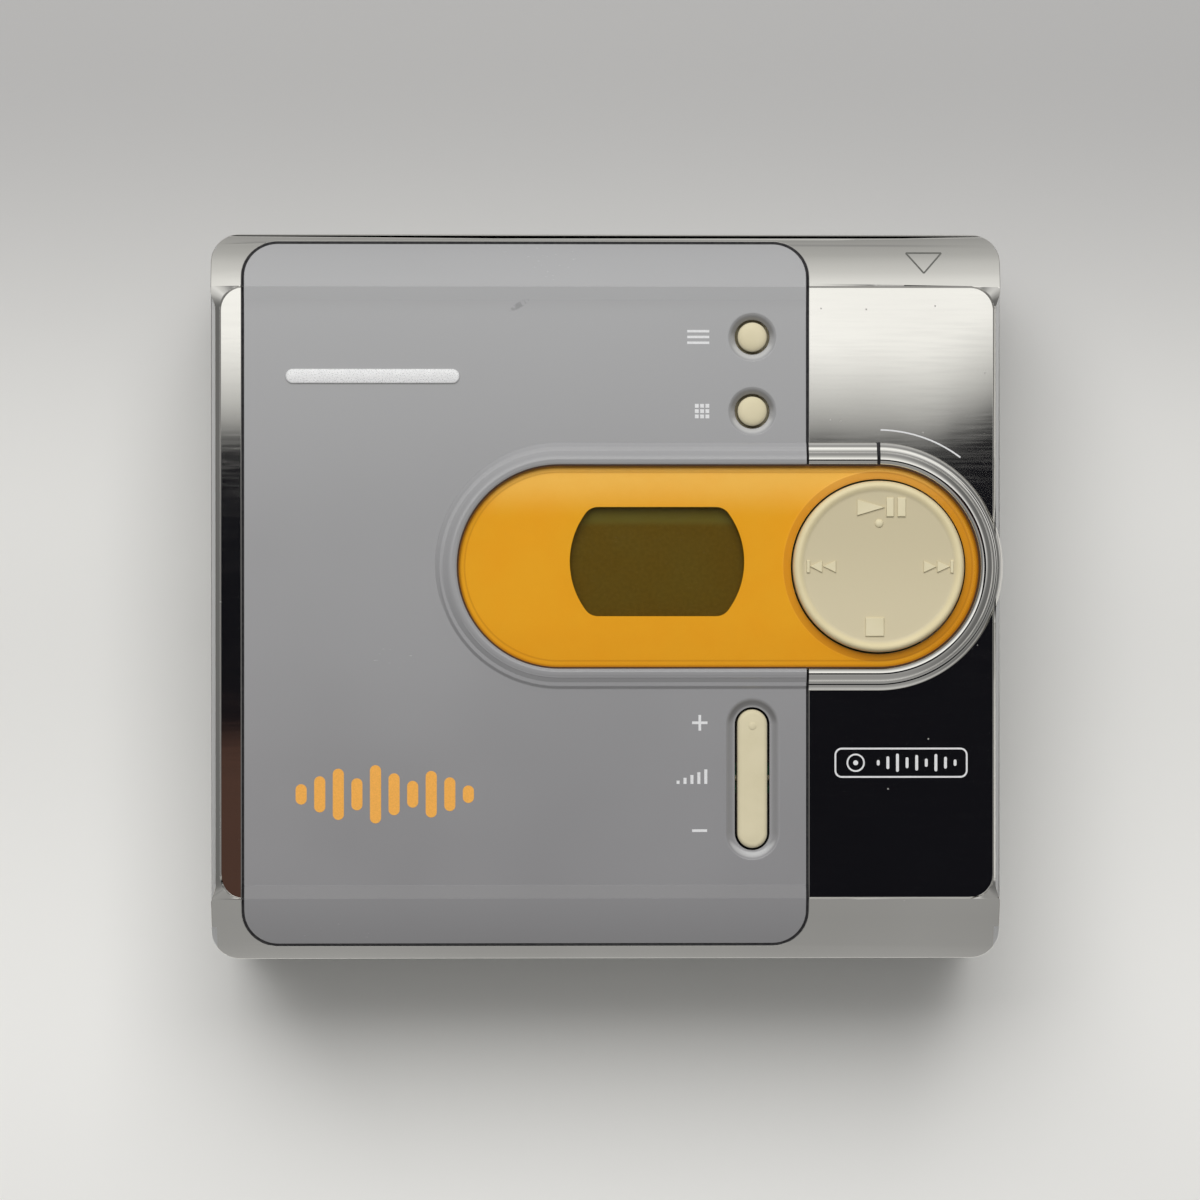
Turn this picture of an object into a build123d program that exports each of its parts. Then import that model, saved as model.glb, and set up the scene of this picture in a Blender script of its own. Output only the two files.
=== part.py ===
from build123d import *

import os

# Portable minidisc player: a case, a hinged lid with the disc holder, the playing mechanism and one AA cell.
#
# The player lies on its back. +X is to the right of its face, +Y towards the edge where the disc goes in, and
# +Z out of the face. The plane z = 0 is the one that the rubber feet stand on. All lengths are millimetres.

# ---------------------------------------------------------------- driving dimensions
# standard things that the player is built round
DISC_WIDTH = 72.0
DISC_DEPTH = 68.0
DISC_THICKNESS = 5.0
DISC_PLAY = 0.2
CELL_RADIUS = 7.25
CELL_LENGTH = 49.5
CELL_NUB_RADIUS = 2.7
CELL_NUB_LENGTH = 1.0
CELL_ROUND = 0.5
JACK_RADIUS = 1.8
JACK_LENGTH = 12.0

# case: its width and depth follow from the disc, the walls and the room beside the disc
SIDE_ROOM = 5.0
CORNER_RADIUS = 2.9
BOTTOM_ROUND = 1.2
FLOOR = 1.2
SIDE_WALL = 2.5
UPPER_WALL = 1.5
REAR_WALL = 1.95
FRONT_WALL = 1.3
FRONT_CORNER = 3.6
PARTITION = 1.0
PART_GAP = 0.3
SHEET = 0.4
DISC_INSET = 0.35

# feet and bottom screws
FOOT_PROUD = 0.4
FOOT_THICKNESS = 0.9
FOOT_RADIUS = 3.0
FOOT_SIDE_INSET = 6.0
FOOT_FRONT_INSET = 14.25
FOOT_REAR_INSET = 6.75
FOOT_ROUND = 0.25

# stack of layers, from the floor up
CELL_PLAY = 0.2
TRAY = 0.7
CASE_RISE = 1.5
LID_BOARD = 0.8
LID_ROOM = 1.15
LID_SKIN = 1.0
PANEL = 1.0
RIDGE = 0.25
COLLAR_RISE = 0.75
WINDOW_RISE = 0.55
DIAL_RISE = 1.25

# hinge of the lid, at the rear edge
BARREL_RADIUS = 2.45
BARREL_GAP = 0.25
BARREL_INSET = 0.1
HINGE_DROP = 0.1
HINGE_PIN_RADIUS = 0.9
PIN_PLAY = 0.05
KNUCKLE_INSET = 10.0
KNUCKLE_WIDTH = 3.0
KNUCKLE_RADIUS = 2.2
KNUCKLE_NECK = 2.8
HINGE_PIN_REACH = 3.5

# outline of the lid's face
WAIST = 0.5
SHOULDER_DROP = 0.8
CORNER_FLARE = 7.75
WAIST_RAMP = 1.6
BULGE_RADIUS = 13.0
BAND_FRONT = 5.55
BAND_REAR = 6.45
BAND_FRONT_DROP = 2.3
BAND_REAR_DROP = 3.4
BAND_OVERRUN = 1.0
BAND_CROWN = 0.42
LID_WALL = 1.4
PLATEAU_SIDE = 1.0
PLATEAU_RADIUS = 2.4

# face panel, window and controls, by their places on the face
PANEL_LEFT_INSET = 3.45
PANEL_TO_DIAL = 7.5
PANEL_FRONT_INSET = 1.05
PANEL_REAR_INSET = 1.65
PANEL_RADIUS = 3.45
PANEL_GAP = 0.25
PANEL_CREASE_WIDTH = 1.4
WINDOW_SPAN = 33.2
WINDOW_Y = 3.16
WINDOW_RADIUS = 10.6
WINDOW_GAP = 0.1
WINDOW_LEDGE = 0.8
WINDOW_BEVEL = 0.3
VALLEY_WIDTH = 0.8
VALLEY_DEPTH = 0.6
COLLAR_WIDTH = 2.1
COLLAR_STEP_WIDTH = 1.25
COLLAR_STEP = 0.35
COLLAR_TAPER = 40.0
COLLAR_NOTCH = 0.35
DIAL_INSET = 12.7
DIAL_RADIUS = 8.9
DIAL_GAP = 0.3
DIAL_SKIRT = 0.9
DIAL_SKIN = 1.4
DIAL_ROUND = 0.55
DIAL_DISH = 0.25
DIAL_RIM = 1.4
DISPLAY_FROM_LEFT = 10.2
DISPLAY_RAISE = 0.515
DISPLAY_WIDTH = 18.2
DISPLAY_HEIGHT = 11.35
DISPLAY_FLAT = 13.4
DISPLAY_FRAME = 2.6
MASK = 0.3
BUTTON_INSET = 5.6
MENU_INSET = 9.7
BUTTON_SPACING = 7.7
BUTTON_RADIUS = 1.6
BUTTON_GAP = 0.2
BUTTON_FLANGE = 0.7
BUTTON_PROUD = 0.35
BUTTON_TRAVEL = 0.4
BUTTON_DISH_RADIUS = 2.5
BUTTON_DISH_DEPTH = 0.45
ROCKER_INSET = 17.2
ROCKER_WIDTH = 3.1
ROCKER_LENGTH = 14.4
ROCKER_GAP = 0.25
ROCKER_PROUD = 0.35
ROCKER_DISH_WIDTH = 5.5
ROCKER_DISH_LENGTH = 16.7
ROCKER_DISH_DEPTH = 0.45
DISH_TAPER = 26.0
ROCKER_PIN_RADIUS = 0.3
ROCKER_PIN_LIFT = 0.4
ROCKER_EAR = 0.8
ROCKER_EDGE = 0.35
MAT = 0.3
MAT_MARGIN = 0.95

# dial carrier, a small gimbal below the dial
CARRIER_INNER = 3.2
CARRIER_OUTER = 5.0
CARRIER_HEIGHT = 1.0
CARRIER_CLEAR = 0.35
DIAL_HUB_RADIUS = 2.6
GIMBAL_PIN_RADIUS = 0.4
GIMBAL_EAR = 1.0
GIMBAL_EAR_GAP = 0.6
DIAL_BASE_RADIUS = 7.6

# playing mechanism
HUB_OFFSET = 0.3
MECH_DROP = 4.7
DECK = 0.7
DECK_DROP = 1.3
DECK_MARGIN = 4.0
DECK_SIDE_CLEAR = 1.9
DECK_CLEAR = 0.8
DECK_LIP = 1.6
SPINDLE_CAN_RADIUS = 7.5
SPINDLE_CAN_HEIGHT = 6.2
SPINDLE_SHAFT_RADIUS = 0.75
TURNTABLE_RADIUS = 6.2
TURNTABLE_THICKNESS = 1.9
TURNTABLE_LIFT = 0.3
SPINDLE_NOSE_RADIUS = 1.9
SPINDLE_NOSE_HEIGHT = 0.5
TURNTABLE_LIP = 0.4
SLED_HALF = 6.0
SLED_CLEAR = 1.0
SLED_HEIGHT = 3.6
SHAFT_SPACING = 9.0
SHAFT_RADIUS = 1.0
SHAFT_LEFT = 5.5
SHAFT_END_CLEAR = 0.2
BRACKET = 1.6
LENS_RADIUS = 2.6
LENS_SEAT = 1.2
LENS_HEIGHT = 1.3
SCREW_SPACING = 3.8
SCREW_RADIUS = 0.9
GEAR_MODULE = 0.4
GEAR_TEETH = 18
PINION_TEETH = 9
GEAR_WIDTH = 1.6
PINION_SHAFT_RADIUS = 0.5
PINION_SHAFT_LENGTH = 4.5
SLED_CAN_RADIUS = 3.0
SLED_CAN_LENGTH = 11.0
POST_LEFT_INSET = 17.5
POST_RIGHT_INSET = 5.5
POST_REAR_INSET = 4.2
POST_FRONT_INSET = 5.45
POST_RADIUS = 2.4
POST_FLANGE = 3.6
STUB_RADIUS = 1.4
STUB_RISE = 0.5
DAMPER_RADIUS = 3.2
DAMPER_LIP = 1.0
DAMPER_CAP = 0.3
SCREW_SHANK = 0.6
SCREW_HEAD = 1.3
SCREW_HEAD_DEPTH = 0.8
SCREW_SLOT = 0.3
CASE_SCREW_LENGTH = 6.0
DECK_SCREW_LENGTH = 3.0

# main board and jacks
BOARD = 1.0
BOARD_LIFT = 1.4
BOARD_CLEAR = 0.3
CHIP = 9.0
CHIP_HEIGHT = 1.2
CHIP_MARGIN = 3.0
CHIP_PITCH = 14.0
HEADPHONE_Y = 10.0
HEADPHONE_HALF = 3.5
HEADPHONE_HEIGHT = 7.0
HEADPHONE_AXIS = 3.6
POWER_Y = -2.0
POWER_HALF = 3.1
POWER_HEIGHT = 6.2
POWER_RADIUS = 1.7
POWER_PIN_RADIUS = 0.5
DATA_Y = -13.0
DATA_HALF = 4.4
DATA_HEIGHT = 4.8
NOSE_PLAY = 0.1
NOSE_LIFT = 0.3
NOSE_INSET = 0.15

# battery door, at the right end of the cell
SPRING_ROOM = 2.6
SPRING_RADIUS = 3.4
SPRING_WIRE = 0.25
SPRING_TURNS = 3
DOOR_HALF = 7.55
DOOR_GAP = 0.2
DOOR_FRONT_GAP = 0.4
DOOR_BIG_ROUND = 6.5
DOOR_SMALL_ROUND = 1.0
DOOR_BARREL_RADIUS = 0.75
DOOR_PIN_RADIUS = 0.35
DOOR_PIN_BITE = 1.4
DOOR_BARREL_HALF = 3.0
DOOR_HINGE_OFFSET = 1.2
CONTACT_HALF = 4.2

# sliders in the side walls, and the grooved grips
GRIP_COUNT = 3
GRIP_PITCH = 1.1
GRIP_DEPTH = 0.25
DOOR_GRIP_INSET = 2.6
OPEN_Y = 26.0
OPEN_LENGTH = 7.0
OPEN_TRAVEL = 2.5
OPEN_PROUD = 0.15
SLIDER_HEIGHT = 4.0
SLIDER_Z = 13.2
SLIDER_DEPTH = 0.8
SLIDER_PLAY = 0.2
SLIDER_ROUND = 0.6
STEM_HEIGHT = 1.6
STEM_WIDTH = 1.6
HOLD_Y = 22.0
HOLD_LENGTH = 6.0
HOLD_TRAVEL = 2.0
HOOK_Y = 25.0
HOOK_HALF = 2.0
HOOK_THICKNESS = 0.8
HOOK_PLAY = 0.5
HOOK_FOOT = 3.5

# lid board and disc holder
LID_BOARD_CLEAR = 1.5
LID_BOARD_LEFT = 11.1
LID_BOARD_RIGHT = 4.7
BOSS_X_INSET = 5.8
BOSS_Y_INSET = 10.75
BOSS_RADIUS = 1.5
BOSS_SCREW_HEAD = 1.1
HOLDER_LIP = 2.6
HOLDER_STOP_INSET = 12.6
HOLDER_STOP_WIDTH = 6.0
HUB_WINDOW_RADIUS = 9.0

# ---------------------------------------------------------------- worked-out levels and places
half_width = DISC_WIDTH / 2 + SIDE_ROOM
rear_room = BARREL_INSET + 2 * BARREL_RADIUS + BARREL_GAP + 2 * PART_GAP
half_depth = (rear_room + DISC_DEPTH + DISC_INSET + FRONT_WALL) / 2
body_width = 2 * half_width
body_depth = 2 * half_depth
cavity_half = half_width - SIDE_WALL
upper_half = half_width - UPPER_WALL
front_inner = half_depth - FRONT_WALL
disc_front = front_inner - DISC_INSET
disc_rear = disc_front - DISC_DEPTH
front_wall_half = half_width - FRONT_CORNER

case_bottom = FOOT_PROUD
floor_top = case_bottom + FLOOR
cell_z = floor_top + CELL_PLAY + CELL_RADIUS
ledge_z = cell_z + CELL_RADIUS + CELL_PLAY
tray_top = ledge_z + TRAY
lip_bottom = tray_top + PART_GAP
slot_bottom = lip_bottom + SHEET
slot_top = slot_bottom + DISC_THICKNESS + DISC_PLAY
holder_top = slot_top + SHEET
lid_board_bottom = holder_top + PART_GAP
lid_board_top = lid_board_bottom + LID_BOARD
lid_roof = lid_board_top + LID_ROOM
recess_floor = lid_roof + LID_SKIN
plateau_z = recess_floor + PANEL
ridge_z = plateau_z + RIDGE
collar_z = plateau_z + COLLAR_RISE
window_z = plateau_z + WINDOW_RISE
dial_z = plateau_z + DIAL_RISE
case_top = tray_top + CASE_RISE
lid_bottom = case_top + PART_GAP
front_wall_top = slot_top - PART_GAP / 3
front_lip = front_wall_top + PART_GAP
button_top = plateau_z + BUTTON_PROUD
mat_top = lid_board_top + MAT

hinge_y = -half_depth + BARREL_RADIUS + BARREL_INSET
hinge_z = case_top - HINGE_DROP
trough_radius = BARREL_RADIUS + BARREL_GAP
knuckle_inner = half_width - KNUCKLE_INSET

chamber_radius = CELL_RADIUS + CELL_PLAY
cell_y = -half_depth + REAR_WALL + chamber_radius
cell_right = cavity_half
cell_left = cell_right - CELL_NUB_LENGTH - CELL_LENGTH
chamber_rear = cell_y - chamber_radius
chamber_front = cell_y + chamber_radius + SHEET / 4
partition_front = chamber_front + PARTITION
room_front = front_inner - PARTITION

board_bottom = floor_top + BOARD_LIFT
board_top = board_bottom + BOARD
mech_z = ledge_z - MECH_DROP
deck_bottom = ledge_z - DECK_DROP
deck_top = deck_bottom + DECK
post_left = -cavity_half + POST_LEFT_INSET
post_right = cavity_half - POST_RIGHT_INSET
post_rear = partition_front + POST_REAR_INSET
post_front = front_inner - POST_FRONT_INSET
deck_left = post_left - DECK_MARGIN
deck_right = cavity_half - DECK_SIDE_CLEAR
deck_rear = partition_front + DECK_CLEAR
deck_front = room_front - DECK_CLEAR
spindle_y = (disc_front + disc_rear) / 2 + HUB_OFFSET
sled_start = SPINDLE_CAN_RADIUS + SLED_CLEAR + SLED_HALF
sled_travel = deck_right - BRACKET - PART_GAP - (sled_start + SLED_HALF - SLED_CLEAR)
shaft_right = cavity_half - SHAFT_END_CLEAR
shaft_places = (spindle_y - SHAFT_SPACING, spindle_y + SHAFT_SPACING)
screw_y = spindle_y - SHAFT_SPACING - SCREW_SPACING

dial_x = half_width - DIAL_INSET
window_left = dial_x - WINDOW_SPAN
panel_left = -half_width + PANEL_LEFT_INSET
panel_right = dial_x - PANEL_TO_DIAL
panel_front = half_depth - PANEL_FRONT_INSET
panel_rear = -half_depth + PANEL_REAR_INSET
display_x = window_left + DISPLAY_FROM_LEFT
display_y = WINDOW_Y + DISPLAY_RAISE
button_x = panel_right - BUTTON_INSET
menu_y = panel_front - MENU_INSET
group_y = menu_y - BUTTON_SPACING
rocker_y = panel_rear + ROCKER_INSET

POST_PLACES = [(x, y) for x in (post_left, post_right) for y in (post_rear, post_front)]
FOOT_PLACES = [
    (x, y)
    for x in (-half_width + FOOT_SIDE_INSET, half_width - FOOT_SIDE_INSET)
    for y in (-half_depth + FOOT_REAR_INSET, half_depth - FOOT_FRONT_INSET)
]
BOSS_PLACES = [
    (x, y)
    for x in (-half_width + BOSS_X_INSET, half_width - BOSS_X_INSET)
    for y in (-half_depth + BOSS_Y_INSET, half_depth - BOSS_Y_INSET)
]
ON_BASE = (Align.CENTER, Align.CENTER, Align.MIN)


# ---------------------------------------------------------------- shared shapes
def block(x0, x1, y0, y1, z0, z1, mode=Mode.ADD):
    """A box between two corners."""
    with Locations(((x0 + x1) / 2, (y0 + y1) / 2, (z0 + z1) / 2)):
        Box(x1 - x0, y1 - y0, z1 - z0, mode=mode)


def rod_x(radius, x0, x1, y, z, mode=Mode.ADD):
    """A round rod along X."""
    with Locations(Location((x0, y, z), (0, 90, 0))):
        Cylinder(radius, x1 - x0, align=ON_BASE, mode=mode)


def rod_y(radius, y0, y1, x, z, mode=Mode.ADD):
    """A round rod along Y."""
    with Locations(Location((x, y0, z), (-90, 0, 0))):
        Cylinder(radius, y1 - y0, align=ON_BASE, mode=mode)


def rod_z(radius, z0, z1, x, y, mode=Mode.ADD):
    """A round rod along Z."""
    with Locations((x, y, z0)):
        Cylinder(radius, z1 - z0, align=ON_BASE, mode=mode)


def rounded_prism(x0, x1, y0, y1, radius, z0, z1, mode=Mode.ADD):
    """A plate with rounded corners, from z0 up to z1."""
    with BuildSketch(Plane.XY.offset(z0)) as outline:
        with Locations(((x0 + x1) / 2, (y0 + y1) / 2)):
            RectangleRounded(x1 - x0, y1 - y0, radius)
    extrude(outline.sketch, amount=z1 - z0, mode=mode)


def window_prism(radius, z0, z1, mode=Mode.ADD, taper=0.0):
    """A plate with the window's long round-ended outline."""
    length = dial_x - window_left + 2 * radius
    with BuildSketch(Plane.XY.offset(z0)) as outline:
        with Locations(((dial_x + window_left) / 2, WINDOW_Y)):
            SlotOverall(length, 2 * radius)
    extrude(outline.sketch, amount=z1 - z0, taper=taper, mode=mode)


def rocker_prism(width, length, z0, z1, mode=Mode.ADD, taper=0.0):
    """A plate with the volume rocker's outline."""
    with BuildSketch(Plane.XY.offset(z0)) as outline:
        with Locations((button_x, rocker_y)):
            SlotOverall(length, width, rotation=90)
    extrude(outline.sketch, amount=z1 - z0, taper=taper, mode=mode)


def display_prism(z0, z1, mode=Mode.ADD):
    """The display's outline: flat at front and rear, bowed out at its two ends."""
    flat_left = display_x - DISPLAY_FLAT / 2
    flat_right = display_x + DISPLAY_FLAT / 2
    front = display_y + DISPLAY_HEIGHT / 2
    rear = display_y - DISPLAY_HEIGHT / 2
    with BuildSketch(Plane.XY.offset(z0)) as outline:
        with BuildLine():
            Line((flat_left, front), (flat_right, front))
            ThreePointArc((flat_right, front), (display_x + DISPLAY_WIDTH / 2, display_y), (flat_right, rear))
            Line((flat_right, rear), (flat_left, rear))
            ThreePointArc((flat_left, rear), (display_x - DISPLAY_WIDTH / 2, display_y), (flat_left, front))
        make_face()
    extrude(outline.sketch, amount=z1 - z0, mode=mode)


def display_block(grow, z0, z1, mode=Mode.ADD):
    """A box that stands out round the display by grow."""
    reach_x = DISPLAY_WIDTH / 2 + grow
    reach_y = DISPLAY_HEIGHT / 2 + grow
    block(display_x - reach_x, display_x + reach_x, display_y - reach_y, display_y + reach_y, z0, z1, mode)


def window_collar():
    """The raised collar round the window, in two steps."""
    step_z = plateau_z + COLLAR_STEP
    window_prism(WINDOW_RADIUS + COLLAR_WIDTH, plateau_z - PANEL / 2, plateau_z)
    window_prism(WINDOW_RADIUS + COLLAR_WIDTH, plateau_z, step_z, taper=COLLAR_TAPER)
    window_prism(WINDOW_RADIUS + COLLAR_STEP_WIDTH, step_z, collar_z, taper=COLLAR_TAPER)


def gear(teeth, bore, x0, y, z, turn):
    """A spur gear whose axis runs along X."""
    pitch = GEAR_MODULE * teeth / 2
    root = pitch - 1.1 * GEAR_MODULE
    tip = pitch + 0.8 * GEAR_MODULE
    root_half = 0.72 * GEAR_MODULE
    tip_half = 0.32 * GEAR_MODULE
    with BuildSketch(Plane(origin=(x0, y, z), x_dir=(0, 1, 0), z_dir=(1, 0, 0))) as section:
        Circle(root)
        with PolarLocations(0, teeth, start_angle=turn):
            Polygon((root * 0.9, -root_half), (tip, -tip_half), (tip, tip_half), (root * 0.9, root_half), align=None)
        if bore:
            Circle(bore, mode=Mode.SUBTRACT)
    extrude(section.sketch, amount=GEAR_WIDTH)


def lid_profile(drop, crease=0.0, crease_width=0.0):
    """The lid seen from its side, down to the underside of its skirts: flat face, sloping band at each end."""
    front_crest = half_depth - BAND_FRONT
    rear_crest = -half_depth + BAND_REAR
    top = ridge_z - drop
    front_edge = top - BAND_FRONT_DROP
    rear_edge = top - BAND_REAR_DROP
    base = lid_bottom - BARREL_RADIUS
    reach = half_depth + BAND_OVERRUN
    front_middle = ((front_crest + reach) / 2, (top + front_edge) / 2 + BAND_CROWN)
    rear_middle = ((rear_crest - reach) / 2, (top + rear_edge) / 2 + BAND_CROWN)
    with BuildSketch(Plane.YZ.offset(-body_width)) as side:
        with BuildLine():
            ThreePointArc((reach, front_edge), front_middle, (front_crest, top))
            if crease:
                Line((front_crest, top), (front_crest - crease_width, top - crease))
                Line((front_crest - crease_width, top - crease), (rear_crest + crease_width, top - crease))
                Line((rear_crest + crease_width, top - crease), (rear_crest, top))
            else:
                Line((front_crest, top), (rear_crest, top))
            ThreePointArc((rear_crest, top), rear_middle, (-reach, rear_edge))
            Line((-reach, rear_edge), (-reach, base))
            Line((-reach, base), (reach, base))
            Line((reach, base), (reach, front_edge))
        make_face()
    return side.sketch


# ================================================================ case
with BuildPart() as lower_case:
    with BuildSketch(Plane.XY.offset(case_bottom)):
        RectangleRounded(body_width, body_depth, CORNER_RADIUS)
    extrude(amount=case_top - case_bottom)
    fillet(lower_case.edges().group_by(Axis.Z)[0], BOTTOM_ROUND)
    # the front wall rises between the lid's corners and closes the disc slot
    block(-front_wall_half, front_wall_half, front_inner, half_depth, ledge_z, front_wall_top)
    # upper room for the lid's holder, mechanism room, and the chamber for the cell
    block(-upper_half, upper_half, hinge_y + BARREL_RADIUS / 2, front_inner, ledge_z, case_top + 1, Mode.SUBTRACT)
    rounded_prism(
        -cavity_half, cavity_half, partition_front, front_inner - PARTITION, 1.5, floor_top, ledge_z, Mode.SUBTRACT
    )
    with BuildSketch(Plane.YZ.offset(-cavity_half)) as chamber:
        with BuildLine():
            CenterArc((cell_y, cell_z), chamber_radius, 90, 90)
            Line((chamber_rear, cell_z), (chamber_rear, floor_top))
            Line((chamber_rear, floor_top), (chamber_front, floor_top))
            Line((chamber_front, floor_top), (chamber_front, cell_z + chamber_radius))
            Line((chamber_front, cell_z + chamber_radius), (cell_y, cell_z + chamber_radius))
        make_face()
    extrude(amount=cavity_half + upper_half, mode=Mode.SUBTRACT)
    # rib that the battery spring stands on
    rib_x = cell_left - SPRING_ROOM
    block(
        rib_x - PARTITION, rib_x, chamber_rear - SHEET, chamber_front + SHEET, floor_top - SHEET, cell_z + CELL_RADIUS / 2
    )
    # trough that the lid's barrel turns in, and the two knuckles that stand in it
    rod_x(trough_radius, -body_width, body_width, hinge_y, hinge_z, Mode.SUBTRACT)
    for side in (-1, 1):
        knuckle_left = side * (knuckle_inner + KNUCKLE_WIDTH / 2) - KNUCKLE_WIDTH / 2
        knuckle_right = knuckle_left + KNUCKLE_WIDTH
        rod_x(KNUCKLE_RADIUS, knuckle_left, knuckle_right, hinge_y, hinge_z)
        neck_bottom = hinge_z - trough_radius - 0.5
        neck = KNUCKLE_NECK / 2
        block(knuckle_left, knuckle_right, hinge_y - neck, hinge_y + neck, neck_bottom, hinge_z)
        rod_x(HINGE_PIN_RADIUS, knuckle_left, knuckle_right, hinge_y, hinge_z, Mode.SUBTRACT)
    # posts that carry the mechanism, with a collar for the main board and a stub for the damper
    for x, y in POST_PLACES:
        rod_z(POST_FLANGE, floor_top, board_bottom, x, y)
        rod_z(POST_RADIUS, board_bottom, deck_bottom - DAMPER_LIP, x, y)
        rod_z(STUB_RADIUS, deck_bottom - DAMPER_LIP, deck_top + STUB_RISE, x, y)
        rod_z(SCREW_SHANK, case_bottom, deck_top + STUB_RISE, x, y, Mode.SUBTRACT)
        rod_z(SCREW_HEAD + 0.1, case_bottom, case_bottom + SCREW_HEAD_DEPTH, x, y, Mode.SUBTRACT)
    # recesses for the feet
    for x, y in FOOT_PLACES:
        rod_z(FOOT_RADIUS + 0.1, case_bottom, FOOT_THICKNESS, x, y, Mode.SUBTRACT)
    # opening for the battery door, and the pocket for its barrel
    door_hinge_y = cell_y + DOOR_HALF + DOOR_HINGE_OFFSET
    door_hinge_x = half_width - DOOR_BARREL_RADIUS
    with BuildSketch(Plane.YZ.offset(cavity_half)) as door_opening:
        with Locations((cell_y + (DOOR_FRONT_GAP - DOOR_GAP) / 2, cell_z)):
            Rectangle(2 * DOOR_HALF + DOOR_GAP + DOOR_FRONT_GAP, 2 * DOOR_HALF + 2 * DOOR_GAP)
        fillet(door_opening.vertices().group_by(Axis.X)[0], DOOR_BIG_ROUND)
        fillet(door_opening.vertices().group_by(Axis.X)[-1], DOOR_SMALL_ROUND)
    extrude(amount=SIDE_WALL, mode=Mode.SUBTRACT)
    pocket_half = DOOR_BARREL_HALF + DOOR_GAP
    block(
        upper_half - DOOR_GAP, half_width, door_hinge_y - DOOR_HINGE_OFFSET, door_hinge_y + DOOR_BARREL_RADIUS + DOOR_GAP,
        cell_z - pocket_half, cell_z + pocket_half, Mode.SUBTRACT
    )
    door_pin_half = pocket_half + DOOR_PIN_BITE
    rod_z(
        DOOR_PIN_RADIUS, cell_z - door_pin_half, cell_z + door_pin_half, door_hinge_x, door_hinge_y, Mode.SUBTRACT
    )
    # left wall: three jack openings, and the track of the open slider
    for jack_y, jack_half, jack_height in (
        (HEADPHONE_Y, HEADPHONE_HALF, HEADPHONE_HEIGHT),
        (POWER_Y, POWER_HALF, POWER_HEIGHT),
        (DATA_Y, DATA_HALF, DATA_HEIGHT),
    ):
        block(
            -half_width, -cavity_half, jack_y - jack_half - NOSE_PLAY, jack_y + jack_half + NOSE_PLAY,
            board_top + NOSE_LIFT - NOSE_PLAY, board_top + jack_height, Mode.SUBTRACT
        )
    track = SLIDER_HEIGHT / 2 + SLIDER_PLAY
    slot_half = STEM_HEIGHT / 2 + SLIDER_PLAY
    stem_reach = STEM_WIDTH / 2 + SLIDER_PLAY
    open_rear = OPEN_Y - OPEN_LENGTH / 2
    open_front = OPEN_Y + OPEN_LENGTH / 2
    open_stem = open_front - STEM_WIDTH / 2 - PART_GAP
    block(
        -half_width, -half_width + SLIDER_DEPTH + SLIDER_PLAY, open_rear - SLIDER_PLAY,
        open_front + OPEN_TRAVEL + SLIDER_PLAY, SLIDER_Z - track, SLIDER_Z + track, Mode.SUBTRACT
    )
    block(
        -half_width, -cavity_half, open_stem - stem_reach, open_stem + stem_reach + OPEN_TRAVEL,
        SLIDER_Z - slot_half, SLIDER_Z + slot_half, Mode.SUBTRACT
    )
    # right wall: the track of the hold slider
    hold_rear = HOLD_Y - HOLD_LENGTH / 2
    hold_front = HOLD_Y + HOLD_LENGTH / 2
    block(
        half_width - SLIDER_DEPTH - SLIDER_PLAY, half_width, hold_rear - SLIDER_PLAY,
        hold_front + HOLD_TRAVEL + SLIDER_PLAY, SLIDER_Z - track, SLIDER_Z + track, Mode.SUBTRACT
    )
    block(
        cavity_half, half_width, HOLD_Y - stem_reach, HOLD_Y + stem_reach + HOLD_TRAVEL,
        SLIDER_Z - slot_half, SLIDER_Z + slot_half, Mode.SUBTRACT
    )
lower_case.part.label = "lower_case"

with BuildPart() as rubber_feet:
    for x, y in FOOT_PLACES:
        rod_z(FOOT_RADIUS, 0, FOOT_THICKNESS, x, y)
    chamfer(rubber_feet.edges().group_by(Axis.Z)[0], FOOT_ROUND)
rubber_feet.part.label = "rubber_feet"

with BuildPart() as case_screws:
    for x, y in POST_PLACES:
        head_bottom = case_bottom + 0.1
        head_top = case_bottom + SCREW_HEAD_DEPTH
        slot_top_z = head_bottom + SCREW_SLOT
        rod_z(SCREW_HEAD, head_bottom, head_top, x, y)
        rod_z(SCREW_SHANK, head_top, head_top + CASE_SCREW_LENGTH, x, y)
        for reach_x, reach_y in ((SCREW_HEAD, SCREW_SLOT / 2), (SCREW_SLOT / 2, SCREW_HEAD)):
            block(x - reach_x, x + reach_x, y - reach_y, y + reach_y, head_bottom, slot_top_z, Mode.SUBTRACT)
case_screws.part.label = "case_screws"

# tray that covers the works, open over the turntable and the pickup
tray_half = upper_half - PART_GAP
with BuildPart() as tray:
    rounded_prism(-tray_half, tray_half, disc_rear - PART_GAP, front_inner - PART_GAP / 2, 0.8, ledge_z, tray_top)
    rod_z(TURNTABLE_RADIUS + 1.2, ledge_z, tray_top, 0, spindle_y, Mode.SUBTRACT)
    rounded_prism(
        0, shaft_right - BRACKET, spindle_y - SHAFT_SPACING / 2, spindle_y + SHAFT_SPACING / 2, 1.0,
        ledge_z, tray_top, Mode.SUBTRACT
    )
    hook_left = -cavity_half + SHEET
    hook_right = hook_left + HOOK_THICKNESS
    block(
        hook_left - PART_GAP, hook_right + PART_GAP, HOOK_Y - HOOK_HALF - HOOK_PLAY, open_front + OPEN_TRAVEL + HOOK_PLAY,
        ledge_z, tray_top, Mode.SUBTRACT
    )
tray.part.label = "mid_frame"

# ================================================================ battery
with BuildPart() as battery_cell:
    rod_x(CELL_RADIUS, cell_left, cell_right - CELL_NUB_LENGTH, cell_y, cell_z)
    chamfer(battery_cell.edges().filter_by(GeomType.CIRCLE), CELL_ROUND)
    rod_x(CELL_NUB_RADIUS, cell_right - CELL_NUB_LENGTH, cell_right, cell_y, cell_z)
battery_cell.part.label = "battery_cell"

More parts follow.
